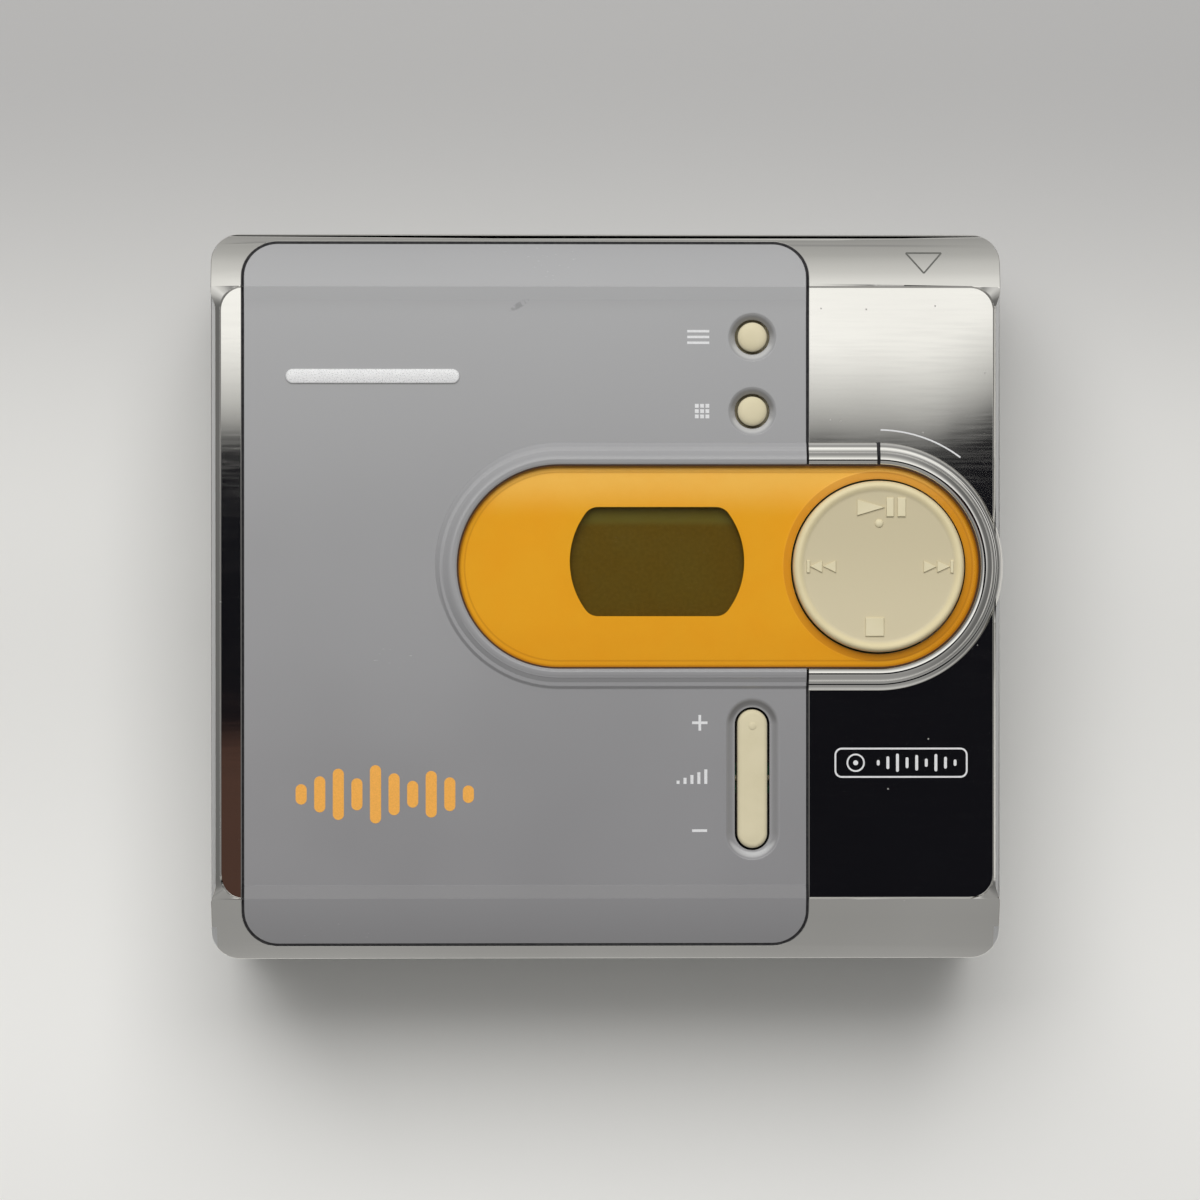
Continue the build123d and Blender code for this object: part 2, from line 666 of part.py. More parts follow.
with BuildPart() as battery_spring:
    spring_start = rib_x + SPRING_WIRE
    spring_length = cell_left - SPRING_WIRE - spring_start
    with BuildLine() as coil:
        Helix(
            spring_length / SPRING_TURNS, spring_length, SPRING_RADIUS, center=(spring_start, cell_y, cell_z),
            direction=(1, 0, 0)
        )
    with BuildSketch(Plane(coil.line @ 0, z_dir=coil.line % 0)):
        RegularPolygon(SPRING_WIRE, 6)
    sweep(path=coil.line)
battery_spring.part.label = "battery_spring"

door_left = upper_half
with BuildPart() as battery_door:
    with BuildSketch(Plane.YZ.offset(door_left)) as door_outline:
        with Locations((cell_y, cell_z)):
            Rectangle(2 * DOOR_HALF, 2 * DOOR_HALF)
        fillet(door_outline.vertices().group_by(Axis.X)[0], DOOR_BIG_ROUND - DOOR_GAP)
        fillet(door_outline.vertices().group_by(Axis.X)[-1], DOOR_SMALL_ROUND - DOOR_GAP)
    extrude(amount=UPPER_WALL)
    with BuildSketch(Plane.XY.offset(case_bottom)):
        RectangleRounded(body_width, body_depth, CORNER_RADIUS)
    extrude(amount=case_top, mode=Mode.INTERSECT)
    # barrel and its web
    rod_z(DOOR_BARREL_RADIUS, cell_z - DOOR_BARREL_HALF, cell_z + DOOR_BARREL_HALF, door_hinge_x, door_hinge_y)
    block(
        door_hinge_x - DOOR_PIN_RADIUS, half_width, cell_y + DOOR_HALF - UPPER_WALL / 2, door_hinge_y,
        cell_z - DOOR_BARREL_HALF, cell_z + DOOR_BARREL_HALF
    )
    rod_z(DOOR_PIN_RADIUS + PIN_PLAY, 0, case_top, door_hinge_x, door_hinge_y, Mode.SUBTRACT)
    # finger ridges at the free edge
    for i in range(GRIP_COUNT):
        groove_y = cell_y - DOOR_HALF + DOOR_GRIP_INSET + GRIP_PITCH * i
        block(
            half_width - GRIP_DEPTH, half_width, groove_y, groove_y + GRIP_PITCH / 2,
            cell_z - DOOR_BARREL_HALF, cell_z + DOOR_BARREL_HALF, Mode.SUBTRACT
        )
battery_door.part.label = "battery_door"

with BuildPart() as door_pin:
    rod_z(DOOR_PIN_RADIUS, cell_z - door_pin_half, cell_z + door_pin_half, door_hinge_x, door_hinge_y)
door_pin.part.label = "door_pin"

with BuildPart() as battery_contact:
    block(
        cell_right + 0.1, door_left, cell_y - CONTACT_HALF, cell_y + CONTACT_HALF, cell_z - CONTACT_HALF, cell_z + CONTACT_HALF
    )
    chamfer(battery_contact.edges().filter_by(Axis.X), CONTACT_HALF / 3)
battery_contact.part.label = "battery_contact"

# ================================================================ playing mechanism
board_left = -cavity_half + BOARD_CLEAR
board_right = cavity_half - BOARD_CLEAR
with BuildPart() as main_board:
    rounded_prism(
        board_left, board_right, partition_front + BOARD_CLEAR, front_inner - PARTITION - BOARD_CLEAR, 1.2,
        board_bottom, board_top
    )
    for x, y in POST_PLACES:
        rod_z(POST_RADIUS + 0.1, board_bottom, board_top, x, y, Mode.SUBTRACT)
main_board.part.label = "main_board"

with BuildPart() as board_chips:
    # one row of chips along the front, between the two posts
    chip_front = post_front - POST_FLANGE - CHIP_MARGIN
    for i in range(3):
        chip_left = post_left + CHIP_MARGIN + CHIP_PITCH * i
        block(chip_left, chip_left + CHIP, chip_front - CHIP, chip_front, board_top, board_top + CHIP_HEIGHT)
board_chips.part.label = "board_chips"

gear_left = SHAFT_LEFT - 2 * BRACKET - PART_GAP - GEAR_WIDTH + 0.8
gear_tip = GEAR_MODULE * (GEAR_TEETH / 2 + 0.8)
with BuildPart() as deck_plate:
    rounded_prism(deck_left, deck_right, deck_rear, deck_front, 2.0, deck_bottom, deck_top)
    for x, y in POST_PLACES:
        rod_z(POST_RADIUS, deck_bottom, deck_top, x, y, Mode.SUBTRACT)
    rod_z(SPINDLE_SHAFT_RADIUS + 0.6, deck_bottom, deck_top, 0, spindle_y, Mode.SUBTRACT)
    # slot over the pickup, and a folded lip that stiffens the front edge
    rounded_prism(
        sled_start - LENS_RADIUS - 1.4, deck_right - BRACKET, spindle_y - SHAFT_SPACING / 2,
        spindle_y + SHAFT_SPACING / 2, 1.0, deck_bottom, deck_top, Mode.SUBTRACT
    )
    block(
        deck_left + 2 * DECK_MARGIN, deck_right - 2 * DECK_MARGIN, deck_front - DECK, deck_front,
        deck_bottom - DECK_LIP, deck_bottom
    )
    # slot for the rim of the lead screw's gear
    gear_slot = gear_tip + PART_GAP
    block(
        gear_left - PART_GAP, gear_left + GEAR_WIDTH + PART_GAP, screw_y - gear_slot, screw_y + gear_slot / 2,
        deck_bottom, deck_top, Mode.SUBTRACT
    )
    # brackets that hold the two guide shafts and the lead screw
    bracket_bottom = mech_z - SHAFT_RADIUS - 0.7
    for bracket_left in (SHAFT_LEFT + 0.6, deck_right - BRACKET):
        for y in shaft_places:
            block(bracket_left, bracket_left + BRACKET, y - 1.9, y + 1.9, bracket_bottom, deck_bottom)
            rod_x(SHAFT_RADIUS, bracket_left, bracket_left + BRACKET, y, mech_z, Mode.SUBTRACT)
    for bracket_left in (gear_left + GEAR_WIDTH + PART_GAP, deck_right - BRACKET):
        block(bracket_left, bracket_left + BRACKET, screw_y - 1.7, screw_y + 1.7, bracket_bottom, deck_bottom)
        rod_x(SCREW_RADIUS + PIN_PLAY, bracket_left, bracket_left + BRACKET, screw_y, mech_z, Mode.SUBTRACT)
deck_plate.part.label = "deck_plate"

with BuildPart() as dampers:
    for x, y in POST_PLACES:
        rod_z(DAMPER_RADIUS, deck_bottom - DAMPER_LIP, deck_bottom, x, y)
        rod_z(POST_RADIUS, deck_bottom, deck_top + DAMPER_CAP, x, y)
        rod_z(STUB_RADIUS, deck_bottom - DAMPER_LIP, deck_top + DAMPER_CAP, x, y, Mode.SUBTRACT)
dampers.part.label = "dampers"

with BuildPart() as deck_screws:
    for x, y in POST_PLACES:
        rod_z(SCREW_HEAD + 0.5, deck_top + STUB_RISE, ledge_z, x, y)
        rod_z(SCREW_SHANK, deck_top + STUB_RISE - DECK_SCREW_LENGTH, deck_top + STUB_RISE, x, y)
deck_screws.part.label = "deck_screws"

with BuildPart() as spindle_motor:
    can_bottom = deck_bottom - SPINDLE_CAN_HEIGHT
    rod_z(SPINDLE_CAN_RADIUS, can_bottom, deck_bottom, 0, spindle_y)
    chamfer(spindle_motor.edges().group_by(Axis.Z)[0], 0.8)
    rod_z(SPINDLE_SHAFT_RADIUS + PIN_PLAY, can_bottom + 1.5, deck_bottom, 0, spindle_y, Mode.SUBTRACT)
spindle_motor.part.label = "spindle_motor"

with BuildPart() as turntable:
    turntable_bottom = deck_top + TURNTABLE_LIFT
    turntable_top = turntable_bottom + TURNTABLE_THICKNESS
    nose_top = turntable_top + SPINDLE_NOSE_HEIGHT
    rod_z(SPINDLE_SHAFT_RADIUS, can_bottom + 1.7, turntable_bottom, 0, spindle_y)
    # cup with a bevelled rim and the nose that centres the disc's hub
    with BuildSketch(Plane.XZ.offset(-spindle_y)):
        with BuildLine():
            Polyline(
                (0, turntable_bottom),
                (TURNTABLE_RADIUS, turntable_bottom),
                (TURNTABLE_RADIUS, turntable_top - TURNTABLE_LIP),
                (TURNTABLE_RADIUS - TURNTABLE_LIP, turntable_top),
                (TURNTABLE_RADIUS - 3 * TURNTABLE_LIP, turntable_top),
                (TURNTABLE_RADIUS - 4 * TURNTABLE_LIP, turntable_top - TURNTABLE_LIP),
                (SPINDLE_NOSE_RADIUS, turntable_top - TURNTABLE_LIP),
                (SPINDLE_NOSE_RADIUS, nose_top - TURNTABLE_LIP),
                (SPINDLE_NOSE_RADIUS - TURNTABLE_LIP, nose_top),
                (0, nose_top),
                close=True,
            )
        make_face()
    revolve(axis=Axis((0, spindle_y, 0), (0, 0, 1)))
turntable.part.label = "turntable"

with BuildPart() as guide_shafts:
    for y in shaft_places:
        rod_x(SHAFT_RADIUS, SHAFT_LEFT, shaft_right, y, mech_z)
guide_shafts.part.label = "guide_shafts"

sled_left = sled_start - SLED_HALF
sled_right = sled_start + SLED_HALF
sled_half_height = SLED_HEIGHT / 2
with BuildPart() as pickup_sled:
    block(
        sled_left, sled_right, spindle_y - SLED_HALF, spindle_y + SLED_HALF, mech_z - sled_half_height,
        mech_z + sled_half_height
    )
    chamfer(pickup_sled.edges().filter_by(Axis.Z), SLED_CLEAR)
    # bearings on the two guide shafts
    bearing_left = sled_left + SLED_CLEAR
    bearing_right = sled_right - SLED_CLEAR
    for y in shaft_places:
        wing_rear = min(spindle_y, y)
        wing_front = max(spindle_y, y)
        block(bearing_left, bearing_right, wing_rear, wing_front, mech_z - 1.6, mech_z + 1.6)
        rod_x(SHAFT_RADIUS + 0.8, bearing_left, bearing_right, y, mech_z)
        rod_x(SHAFT_RADIUS + PIN_PLAY, bearing_left, bearing_right, y, mech_z, Mode.SUBTRACT)
    # arm with the half nut that rides on the lead screw
    nut_bottom = mech_z + SCREW_RADIUS + PIN_PLAY
    nut_front = spindle_y - SHAFT_SPACING - SHAFT_RADIUS - SHEET
    block(sled_start - 1.5, sled_start + 1.5, screw_y - 0.2, nut_front, nut_bottom, nut_bottom + 0.8)
    # raised seat of the lens, with the light's way through the sled
    seat_bottom = mech_z + sled_half_height
    seat_top = seat_bottom + LENS_SEAT
    rod_z(LENS_RADIUS + 1.0, seat_bottom, seat_top, sled_start, spindle_y)
    rod_z(LENS_RADIUS - 0.4, mech_z - sled_half_height, seat_top, sled_start, spindle_y, Mode.SUBTRACT)
pickup_sled.part.label = "pickup_sled"

with BuildPart() as objective_lens:
    # edge of the lens, and two cones that stand for its steep crown
    lens_edge = seat_top + LENS_HEIGHT / 2
    lens_crown = (LENS_HEIGHT - LENS_HEIGHT / 2) / 2
    rod_z(LENS_RADIUS, seat_top, lens_edge, sled_start, spindle_y)
    with Locations((sled_start, spindle_y, lens_edge)):
        Cone(LENS_RADIUS, LENS_RADIUS * 0.75, lens_crown, align=ON_BASE)
    with Locations((sled_start, spindle_y, lens_edge + lens_crown)):
        Cone(LENS_RADIUS * 0.75, LENS_RADIUS * 0.3, lens_crown, align=ON_BASE)
objective_lens.part.label = "objective_lens"

with BuildPart() as lead_screw:
    rod_x(SCREW_RADIUS, gear_left, shaft_right, screw_y, mech_z)
    gear(GEAR_TEETH, 0, gear_left, screw_y, mech_z, 0)
lead_screw.part.label = "lead_screw"

gear_centres = GEAR_MODULE * (GEAR_TEETH + PINION_TEETH) / 2
motor_y = screw_y - gear_centres
with BuildPart() as drive_pinion:
    rod_x(PINION_SHAFT_RADIUS, gear_left - PINION_SHAFT_LENGTH, gear_left, motor_y, mech_z)
    gear(PINION_TEETH, 0, gear_left, motor_y, mech_z, 180 / PINION_TEETH)
drive_pinion.part.label = "drive_pinion"

with BuildPart() as sled_motor:
    can_right = gear_left - HOOK_PLAY
    rod_x(SLED_CAN_RADIUS, can_right - SLED_CAN_LENGTH, can_right, motor_y, mech_z)
    chamfer(sled_motor.edges().filter_by(GeomType.CIRCLE), 0.4)
    rod_x(
        PINION_SHAFT_RADIUS + PIN_PLAY, gear_left - PINION_SHAFT_LENGTH - PART_GAP, can_right, motor_y, mech_z,
        Mode.SUBTRACT
    )
    # strap that hangs the can on the deck
    strap_right = can_right - PINION_SHAFT_LENGTH / 2
    block(
        strap_right - PINION_SHAFT_LENGTH, strap_right, motor_y - 1.4, motor_y + 1.4,
        mech_z + SLED_CAN_RADIUS - SHEET, deck_bottom
    )
sled_motor.part.label = "sled_motor"

# ================================================================ jacks
def jack_body(jack_y, half, height, length):
    """A jack's moulded block on the main board, with a nose that fills its opening in the case's wall."""
    block_left = -cavity_half + DOOR_GAP
    block(block_left, -cavity_half + length, jack_y - half - 0.6, jack_y + half + 0.6, board_top, board_top + height)
    block(
        -half_width + NOSE_INSET, block_left, jack_y - half, jack_y + half, board_top + NOSE_LIFT,
        board_top + height - NOSE_PLAY
    )


with BuildPart() as headphone_jack:
    jack_mouth = -half_width + NOSE_INSET
    jack_body(HEADPHONE_Y, HEADPHONE_HALF, HEADPHONE_HEIGHT, JACK_LENGTH + 0.5)
    headphone_z = board_top + HEADPHONE_AXIS
    rod_x(JACK_RADIUS, jack_mouth, jack_mouth + JACK_LENGTH, HEADPHONE_Y, headphone_z, Mode.SUBTRACT)
headphone_jack.part.label = "headphone_jack"

with BuildPart() as power_jack:
    jack_body(POWER_Y, POWER_HALF, POWER_HEIGHT, 9.0)
    power_z = board_top + (NOSE_LIFT + POWER_HEIGHT) / 2
    rod_x(POWER_RADIUS, jack_mouth, jack_mouth + 7.0, POWER_Y, power_z, Mode.SUBTRACT)
    rod_x(POWER_PIN_RADIUS, jack_mouth + 0.5, jack_mouth + 7.0, POWER_Y, power_z)
power_jack.part.label = "power_jack"

with BuildPart() as data_jack:
    jack_body(DATA_Y, DATA_HALF, DATA_HEIGHT, 8.0)
    with BuildSketch(Plane.YZ.offset(jack_mouth)) as port:
        with Locations((DATA_Y, board_top + (NOSE_LIFT + DATA_HEIGHT) / 2)):
            Trapezoid(6.9, 2.9, 65, rotation=180)
    extrude(amount=6.0, mode=Mode.SUBTRACT)
data_jack.part.label = "data_jack"

# ================================================================ sliders
with BuildPart() as open_slider:
    slider_left = -half_width
    slider_right = -half_width + SLIDER_DEPTH
    slider_low = SLIDER_Z - SLIDER_HEIGHT / 2
    slider_high = SLIDER_Z + SLIDER_HEIGHT / 2
    stem_low = SLIDER_Z - STEM_HEIGHT / 2
    stem_high = SLIDER_Z + STEM_HEIGHT / 2
    block(slider_left, slider_right, open_rear, open_front, slider_low, slider_high)
    chamfer(open_slider.edges().filter_by(Axis.X), SLIDER_ROUND)
    # raised grip
    for i in range(GRIP_COUNT):
        grip_y = OPEN_Y + GRIP_PITCH * (i - GRIP_COUNT / 2)
        block(
            slider_left - OPEN_PROUD, slider_left, grip_y, grip_y + GRIP_PITCH / 2, slider_low + SLIDER_ROUND,
            slider_high - SLIDER_ROUND
        )
    # stem through the wall, and the catch beside the lid's hook
    stem_rear = open_stem - STEM_WIDTH / 2
    stem_front = open_stem + STEM_WIDTH / 2
    block(slider_right, hook_left - PART_GAP, stem_rear, stem_front, stem_low, stem_high)
    catch_rear = HOOK_Y + HOOK_HALF + HOOK_PLAY
    block(-cavity_half + NOSE_PLAY, hook_right, catch_rear, stem_front, stem_low, stem_high + SLIDER_DEPTH)
open_slider.part.label = "open_slider"

with BuildPart() as hold_slider:
    block(half_width - SLIDER_DEPTH, half_width, hold_rear, hold_front, slider_low, slider_high)
    chamfer(hold_slider.edges().filter_by(Axis.X), SLIDER_ROUND)
    for i in range(GRIP_COUNT):
        groove_y = HOLD_Y + GRIP_PITCH * (i - GRIP_COUNT / 2)
        block(
            half_width - GRIP_DEPTH, half_width, groove_y, groove_y + GRIP_PITCH / 2, slider_low, slider_high,
            Mode.SUBTRACT
        )
    # stem through the wall, and the bar that keeps it in
    block(
        cavity_half - 2 * SLIDER_PLAY, half_width - SLIDER_DEPTH, HOLD_Y - STEM_WIDTH / 2, HOLD_Y + STEM_WIDTH / 2,
        stem_low, stem_high
    )
    block(
        cavity_half - SLIDER_PLAY - HOOK_PLAY, cavity_half - SLIDER_PLAY, HOLD_Y - HOLD_LENGTH / 3,
        HOLD_Y + HOLD_LENGTH / 3, stem_low - SLIDER_DEPTH, stem_high + SLIDER_DEPTH
    )
hold_slider.part.label = "hold_slider"

# ================================================================ lid
plateau_front = half_depth - BAND_FRONT
plateau_rear = -half_depth + BAND_REAR
waist_x = half_width - WAIST
waist_half = half_depth - CORNER_FLARE
flare_half = waist_half + WAIST_RAMP
inner_half = waist_x - LID_WALL
shoulder_z = plateau_z - SHOULDER_DROP
band_roof = lid_board_top - 0.7
bore_half = KNUCKLE_WIDTH / 2 + HINGE_PIN_REACH
panel_middle = ((panel_left + panel_right) / 2, (panel_rear + panel_front) / 2)
panel_width = panel_right - panel_left
panel_depth = panel_front - panel_rear
rocker_pin_z = mat_top + ROCKER_PIN_LIFT

# what is taken out of the lid for the face panel: its floor follows the lid's bands
with BuildPart() as panel_room:
    with BuildSketch(Plane.XY.offset(case_top)):
        with Locations(panel_middle):
            RectangleRounded(panel_width + 2 * PANEL_GAP, panel_depth + 2 * PANEL_GAP, PANEL_RADIUS + PANEL_GAP)
    extrude(amount=collar_z + 1 - case_top)
    extrude(lid_profile(RIDGE + PANEL), amount=2 * body_width, mode=Mode.SUBTRACT)


def knuckle_room():
    """Cuts the room for the case's two knuckles, and the bores for the pins that go through them."""
    gap_half = KNUCKLE_WIDTH / 2 + PART_GAP
    for side in (-1, 1):
        knuckle_middle = side * (knuckle_inner + KNUCKLE_WIDTH / 2)
        block(
            knuckle_middle - gap_half, knuckle_middle + gap_half, -half_depth, hinge_y + trough_radius,
            hinge_z - trough_radius, hinge_z + trough_radius, Mode.SUBTRACT
        )
        rod_x(
            HINGE_PIN_RADIUS + PIN_PLAY, knuckle_middle - bore_half, knuckle_middle + bore_half, hinge_y, hinge_z,
            Mode.SUBTRACT
        )


with BuildPart() as lid_frame:
    with BuildSketch(Plane.XY.offset(lid_bottom)):
        RectangleRounded(body_width, body_depth, CORNER_RADIUS)
    extrude(amount=ridge_z + 1 - lid_bottom)
    # the sides are waisted above a narrow shoulder, and full width again at the four corners
    with BuildSketch(Plane.XY.offset(shoulder_z)) as waists:
        for side in (-1, 1):
            with BuildLine():
                Polyline(
                    (side * (half_width + 1), flare_half),
                    (side * half_width, flare_half),
                    (side * waist_x, waist_half),
                    (side * waist_x, -waist_half),
                    (side * half_width, -flare_half),
                    (side * (half_width + 1), -flare_half),
                    close=True,
                )
            make_face()
    extrude(waists.sketch, amount=ridge_z + 1 - shoulder_z, mode=Mode.SUBTRACT)
    extrude(lid_profile(0.0), amount=2 * body_width, mode=Mode.INTERSECT)
    # the side bulges out round the dial
    rod_z(BULGE_RADIUS, lid_bottom, plateau_z - 0.2, dial_x, WINDOW_Y)
    # plateau, sunk a little below the crests of the two bands
    rounded_prism(
        -half_width + PLATEAU_SIDE, half_width - PLATEAU_SIDE + 0.3, plateau_rear, plateau_front, PLATEAU_RADIUS,
        plateau_z, ridge_z + 1, Mode.SUBTRACT
    )
    # raised collar round the window, with a narrow notch above the dial
    window_collar()
    block(
        dial_x - COLLAR_NOTCH / 2, dial_x + COLLAR_NOTCH / 2, WINDOW_Y, WINDOW_Y + WINDOW_RADIUS + COLLAR_WIDTH + 1,
        plateau_z, collar_z, Mode.SUBTRACT
    )
    # room inside, lower under the two bands
    room_half = front_inner - NOSE_INSET
    block(-inner_half, inner_half, -room_half, room_half, lid_bottom - 1, band_roof, Mode.SUBTRACT)
    block(-inner_half, inner_half, plateau_rear, plateau_front, lid_bottom - 1, lid_roof, Mode.SUBTRACT)
    # the front edge stands above the case's front wall
    block(
        -front_wall_half - PART_GAP, front_wall_half + PART_GAP, front_inner - PART_GAP, half_depth + 1,
        lid_bottom - 1, front_lip, Mode.SUBTRACT
    )
    add(panel_room.part, mode=Mode.SUBTRACT)
    # seat of the window, with a ledge round its opening
    window_prism(WINDOW_RADIUS, recess_floor, collar_z, Mode.SUBTRACT)
    window_prism(WINDOW_RADIUS - WINDOW_LEDGE, lid_roof, recess_floor, Mode.SUBTRACT)
    # openings below the face panel for the two buttons and the rocker
    for y in (menu_y, group_y):
        rod_z(BUTTON_RADIUS + BUTTON_GAP, lid_roof, recess_floor, button_x, y, Mode.SUBTRACT)
    rocker_prism(ROCKER_WIDTH + 2 * ROCKER_GAP, ROCKER_LENGTH + 2 * ROCKER_GAP, lid_roof, recess_floor, Mode.SUBTRACT)
    # ears that hold the rocker's trunnions
    ear_inner = ROCKER_WIDTH / 2 + ROCKER_GAP + 0.1
    for side in (-1, 1):
        ear_middle = button_x + side * (ear_inner + ROCKER_EAR / 2)
        ear_left = ear_middle - ROCKER_EAR / 2
        ear_right = ear_middle + ROCKER_EAR / 2
        block(ear_left, ear_right, rocker_y - 1, rocker_y + 1, rocker_pin_z - 0.55, lid_roof)
        rod_x(ROCKER_PIN_RADIUS + PIN_PLAY, ear_left, ear_right, rocker_y, rocker_pin_z, Mode.SUBTRACT)
    # bosses for the disc holder's screws
    for x, y in BOSS_PLACES:
        rod_z(BOSS_RADIUS, holder_top, lid_roof, x, y)
        rod_z(SCREW_SHANK, holder_top, lid_roof - SHEET, x, y, Mode.SUBTRACT)
    knuckle_room()
lid_frame.part.label = "lid_frame"

# round barrel in the corner of the lid's rear wall, cut back at the body's rounded corners
with BuildPart() as hinge_barrel:
    rod_x(BARREL_RADIUS, -half_width, half_width, hinge_y, hinge_z)
    with BuildSketch(Plane.XY.offset(case_bottom)):
        RectangleRounded(body_width, body_depth, CORNER_RADIUS)
    extrude(amount=ridge_z, mode=Mode.INTERSECT)
    add(lid_frame.part, mode=Mode.SUBTRACT)
    knuckle_room()
hinge_barrel.part.label = "hinge_barrel"

# hook that the open slider's catch holds down: a strip with a window, on a foot under the lid's roof
with BuildPart() as latch_hook:
    hook_rear = HOOK_Y - HOOK_HALF
    hook_front = HOOK_Y + HOOK_HALF
    hook_bottom = stem_low - HOOK_THICKNESS
    block(hook_left, hook_right, hook_rear, hook_front, hook_bottom, lid_roof)
    block(
        hook_left, hook_right, hook_rear + HOOK_THICKNESS, hook_front - HOOK_THICKNESS, SLIDER_Z, SLIDER_Z + STEM_HEIGHT,
        Mode.SUBTRACT
    )
    block(hook_left, hook_left + HOOK_FOOT, hook_rear, HOOK_Y, lid_roof - HOOK_THICKNESS, lid_roof)
latch_hook.part.label = "latch_hook"

with BuildPart() as hinge_pins:
    for side in (-1, 1):
        pin_middle = side * (knuckle_inner + KNUCKLE_WIDTH / 2)
        pin_half = bore_half - SLIDER_PLAY
        rod_x(HINGE_PIN_RADIUS, pin_middle - pin_half, pin_middle + pin_half, hinge_y, hinge_z)
hinge_pins.part.label = "hinge_pins"

with BuildPart() as face_panel:
    with BuildSketch(Plane.XY.offset(case_top)):
        with Locations(panel_middle):
            Rectangle(panel_width, panel_depth)
    extrude(amount=ridge_z + 1 - case_top)
    extrude(lid_profile(0.0, RIDGE, PANEL_CREASE_WIDTH), amount=2 * body_width, mode=Mode.INTERSECT)
    window_collar()
    extrude(lid_profile(RIDGE + PANEL), amount=2 * body_width, mode=Mode.SUBTRACT)
    with BuildSketch(Plane.XY.offset(case_top)):
        with Locations(panel_middle):
            RectangleRounded(panel_width, panel_depth, PANEL_RADIUS)
    extrude(amount=collar_z + 1 - case_top, mode=Mode.INTERSECT)
    window_prism(WINDOW_RADIUS, recess_floor, collar_z, Mode.SUBTRACT)
    # shallow dishes round the buttons, with a hole in each
    for y in (menu_y, group_y):
        with Locations((button_x, y, plateau_z - BUTTON_DISH_DEPTH)):
            Cone(BUTTON_RADIUS + BUTTON_GAP, BUTTON_DISH_RADIUS, BUTTON_DISH_DEPTH, align=ON_BASE, mode=Mode.SUBTRACT)
        rod_z(BUTTON_RADIUS + BUTTON_GAP, recess_floor, plateau_z, button_x, y, Mode.SUBTRACT)
    dish_floor = plateau_z - ROCKER_DISH_DEPTH
    rocker_prism(
        ROCKER_DISH_WIDTH - ROCKER_DISH_DEPTH, ROCKER_DISH_LENGTH - ROCKER_DISH_DEPTH,
        dish_floor, plateau_z, Mode.SUBTRACT, taper=-DISH_TAPER
    )
    rocker_prism(ROCKER_WIDTH + 2 * ROCKER_GAP, ROCKER_LENGTH + 2 * ROCKER_GAP, recess_floor, plateau_z, Mode.SUBTRACT)
face_panel.part.label = "face_panel"

# ---------------------------------------------------------------- window and display
with BuildPart() as display_window:
    window_prism(WINDOW_RADIUS - WINDOW_GAP, recess_floor, window_z)
    chamfer(display_window.edges().group_by(Axis.Z)[-1], WINDOW_BEVEL)
    rod_z(DIAL_RADIUS + DIAL_GAP, recess_floor, window_z, dial_x, WINDOW_Y, Mode.SUBTRACT)
    # sloping valley round the dial
    with Locations((dial_x, WINDOW_Y, window_z - VALLEY_DEPTH)):
        Cone(
            DIAL_RADIUS + DIAL_GAP, DIAL_RADIUS + DIAL_GAP + VALLEY_WIDTH, VALLEY_DEPTH, align=ON_BASE,
            mode=Mode.SUBTRACT
        )
display_window.part.label = "display_window"

mask_bottom = recess_floor - MASK
with BuildPart() as window_mask:
    window_prism(WINDOW_RADIUS - WINDOW_LEDGE - WINDOW_GAP, mask_bottom, recess_floor)
    display_prism(mask_bottom, recess_floor, Mode.SUBTRACT)
    rod_z(DIAL_RADIUS + DIAL_GAP, mask_bottom, recess_floor, dial_x, WINDOW_Y, Mode.SUBTRACT)
    block(dial_x - 4, half_width, -half_depth, half_depth, mask_bottom, recess_floor, Mode.SUBTRACT)
window_mask.part.label = "window_mask"

glass_bottom = lid_board_top + SHEET
with BuildPart() as display_holder:
    display_block(DISPLAY_FRAME, lid_board_top, mask_bottom)
    display_block(DISPLAY_FRAME - 1.6, glass_bottom, mask_bottom, Mode.SUBTRACT)
display_holder.part.label = "display_holder"

with BuildPart() as display_glass:
    display_block(DISPLAY_FRAME - 1.6 - PIN_PLAY, glass_bottom, mask_bottom - PIN_PLAY)
display_glass.part.label = "display_glass"

with BuildPart() as lid_board:
    rounded_prism(
        window_left - LID_BOARD_LEFT, dial_x + LID_BOARD_RIGHT, plateau_rear + LID_BOARD_CLEAR,
        plateau_front - LID_BOARD_CLEAR, 1.5, lid_board_bottom, lid_board_top
    )
    rod_z(DIAL_BASE_RADIUS, lid_board_bottom, lid_board_top, dial_x, WINDOW_Y)
lid_board.part.label = "lid_board"

with BuildPart() as button_mat:
    mat_half = BUTTON_RADIUS + BUTTON_FLANGE + MAT_MARGIN
    rounded_prism(
        button_x - mat_half, button_x + mat_half, group_y - mat_half, menu_y + mat_half, MAT_MARGIN, lid_board_top, mat_top
    )
    rocker_prism(ROCKER_WIDTH + 4 * MAT_MARGIN, ROCKER_LENGTH + 4 * MAT_MARGIN, lid_board_top, mat_top)
    ear_reach = ear_inner + ROCKER_EAR + SHEET
    block(button_x - ear_reach, button_x + ear_reach, rocker_y - 1.6, rocker_y + 1.6, lid_board_top, mat_top, Mode.SUBTRACT)
button_mat.part.label = "button_mat"

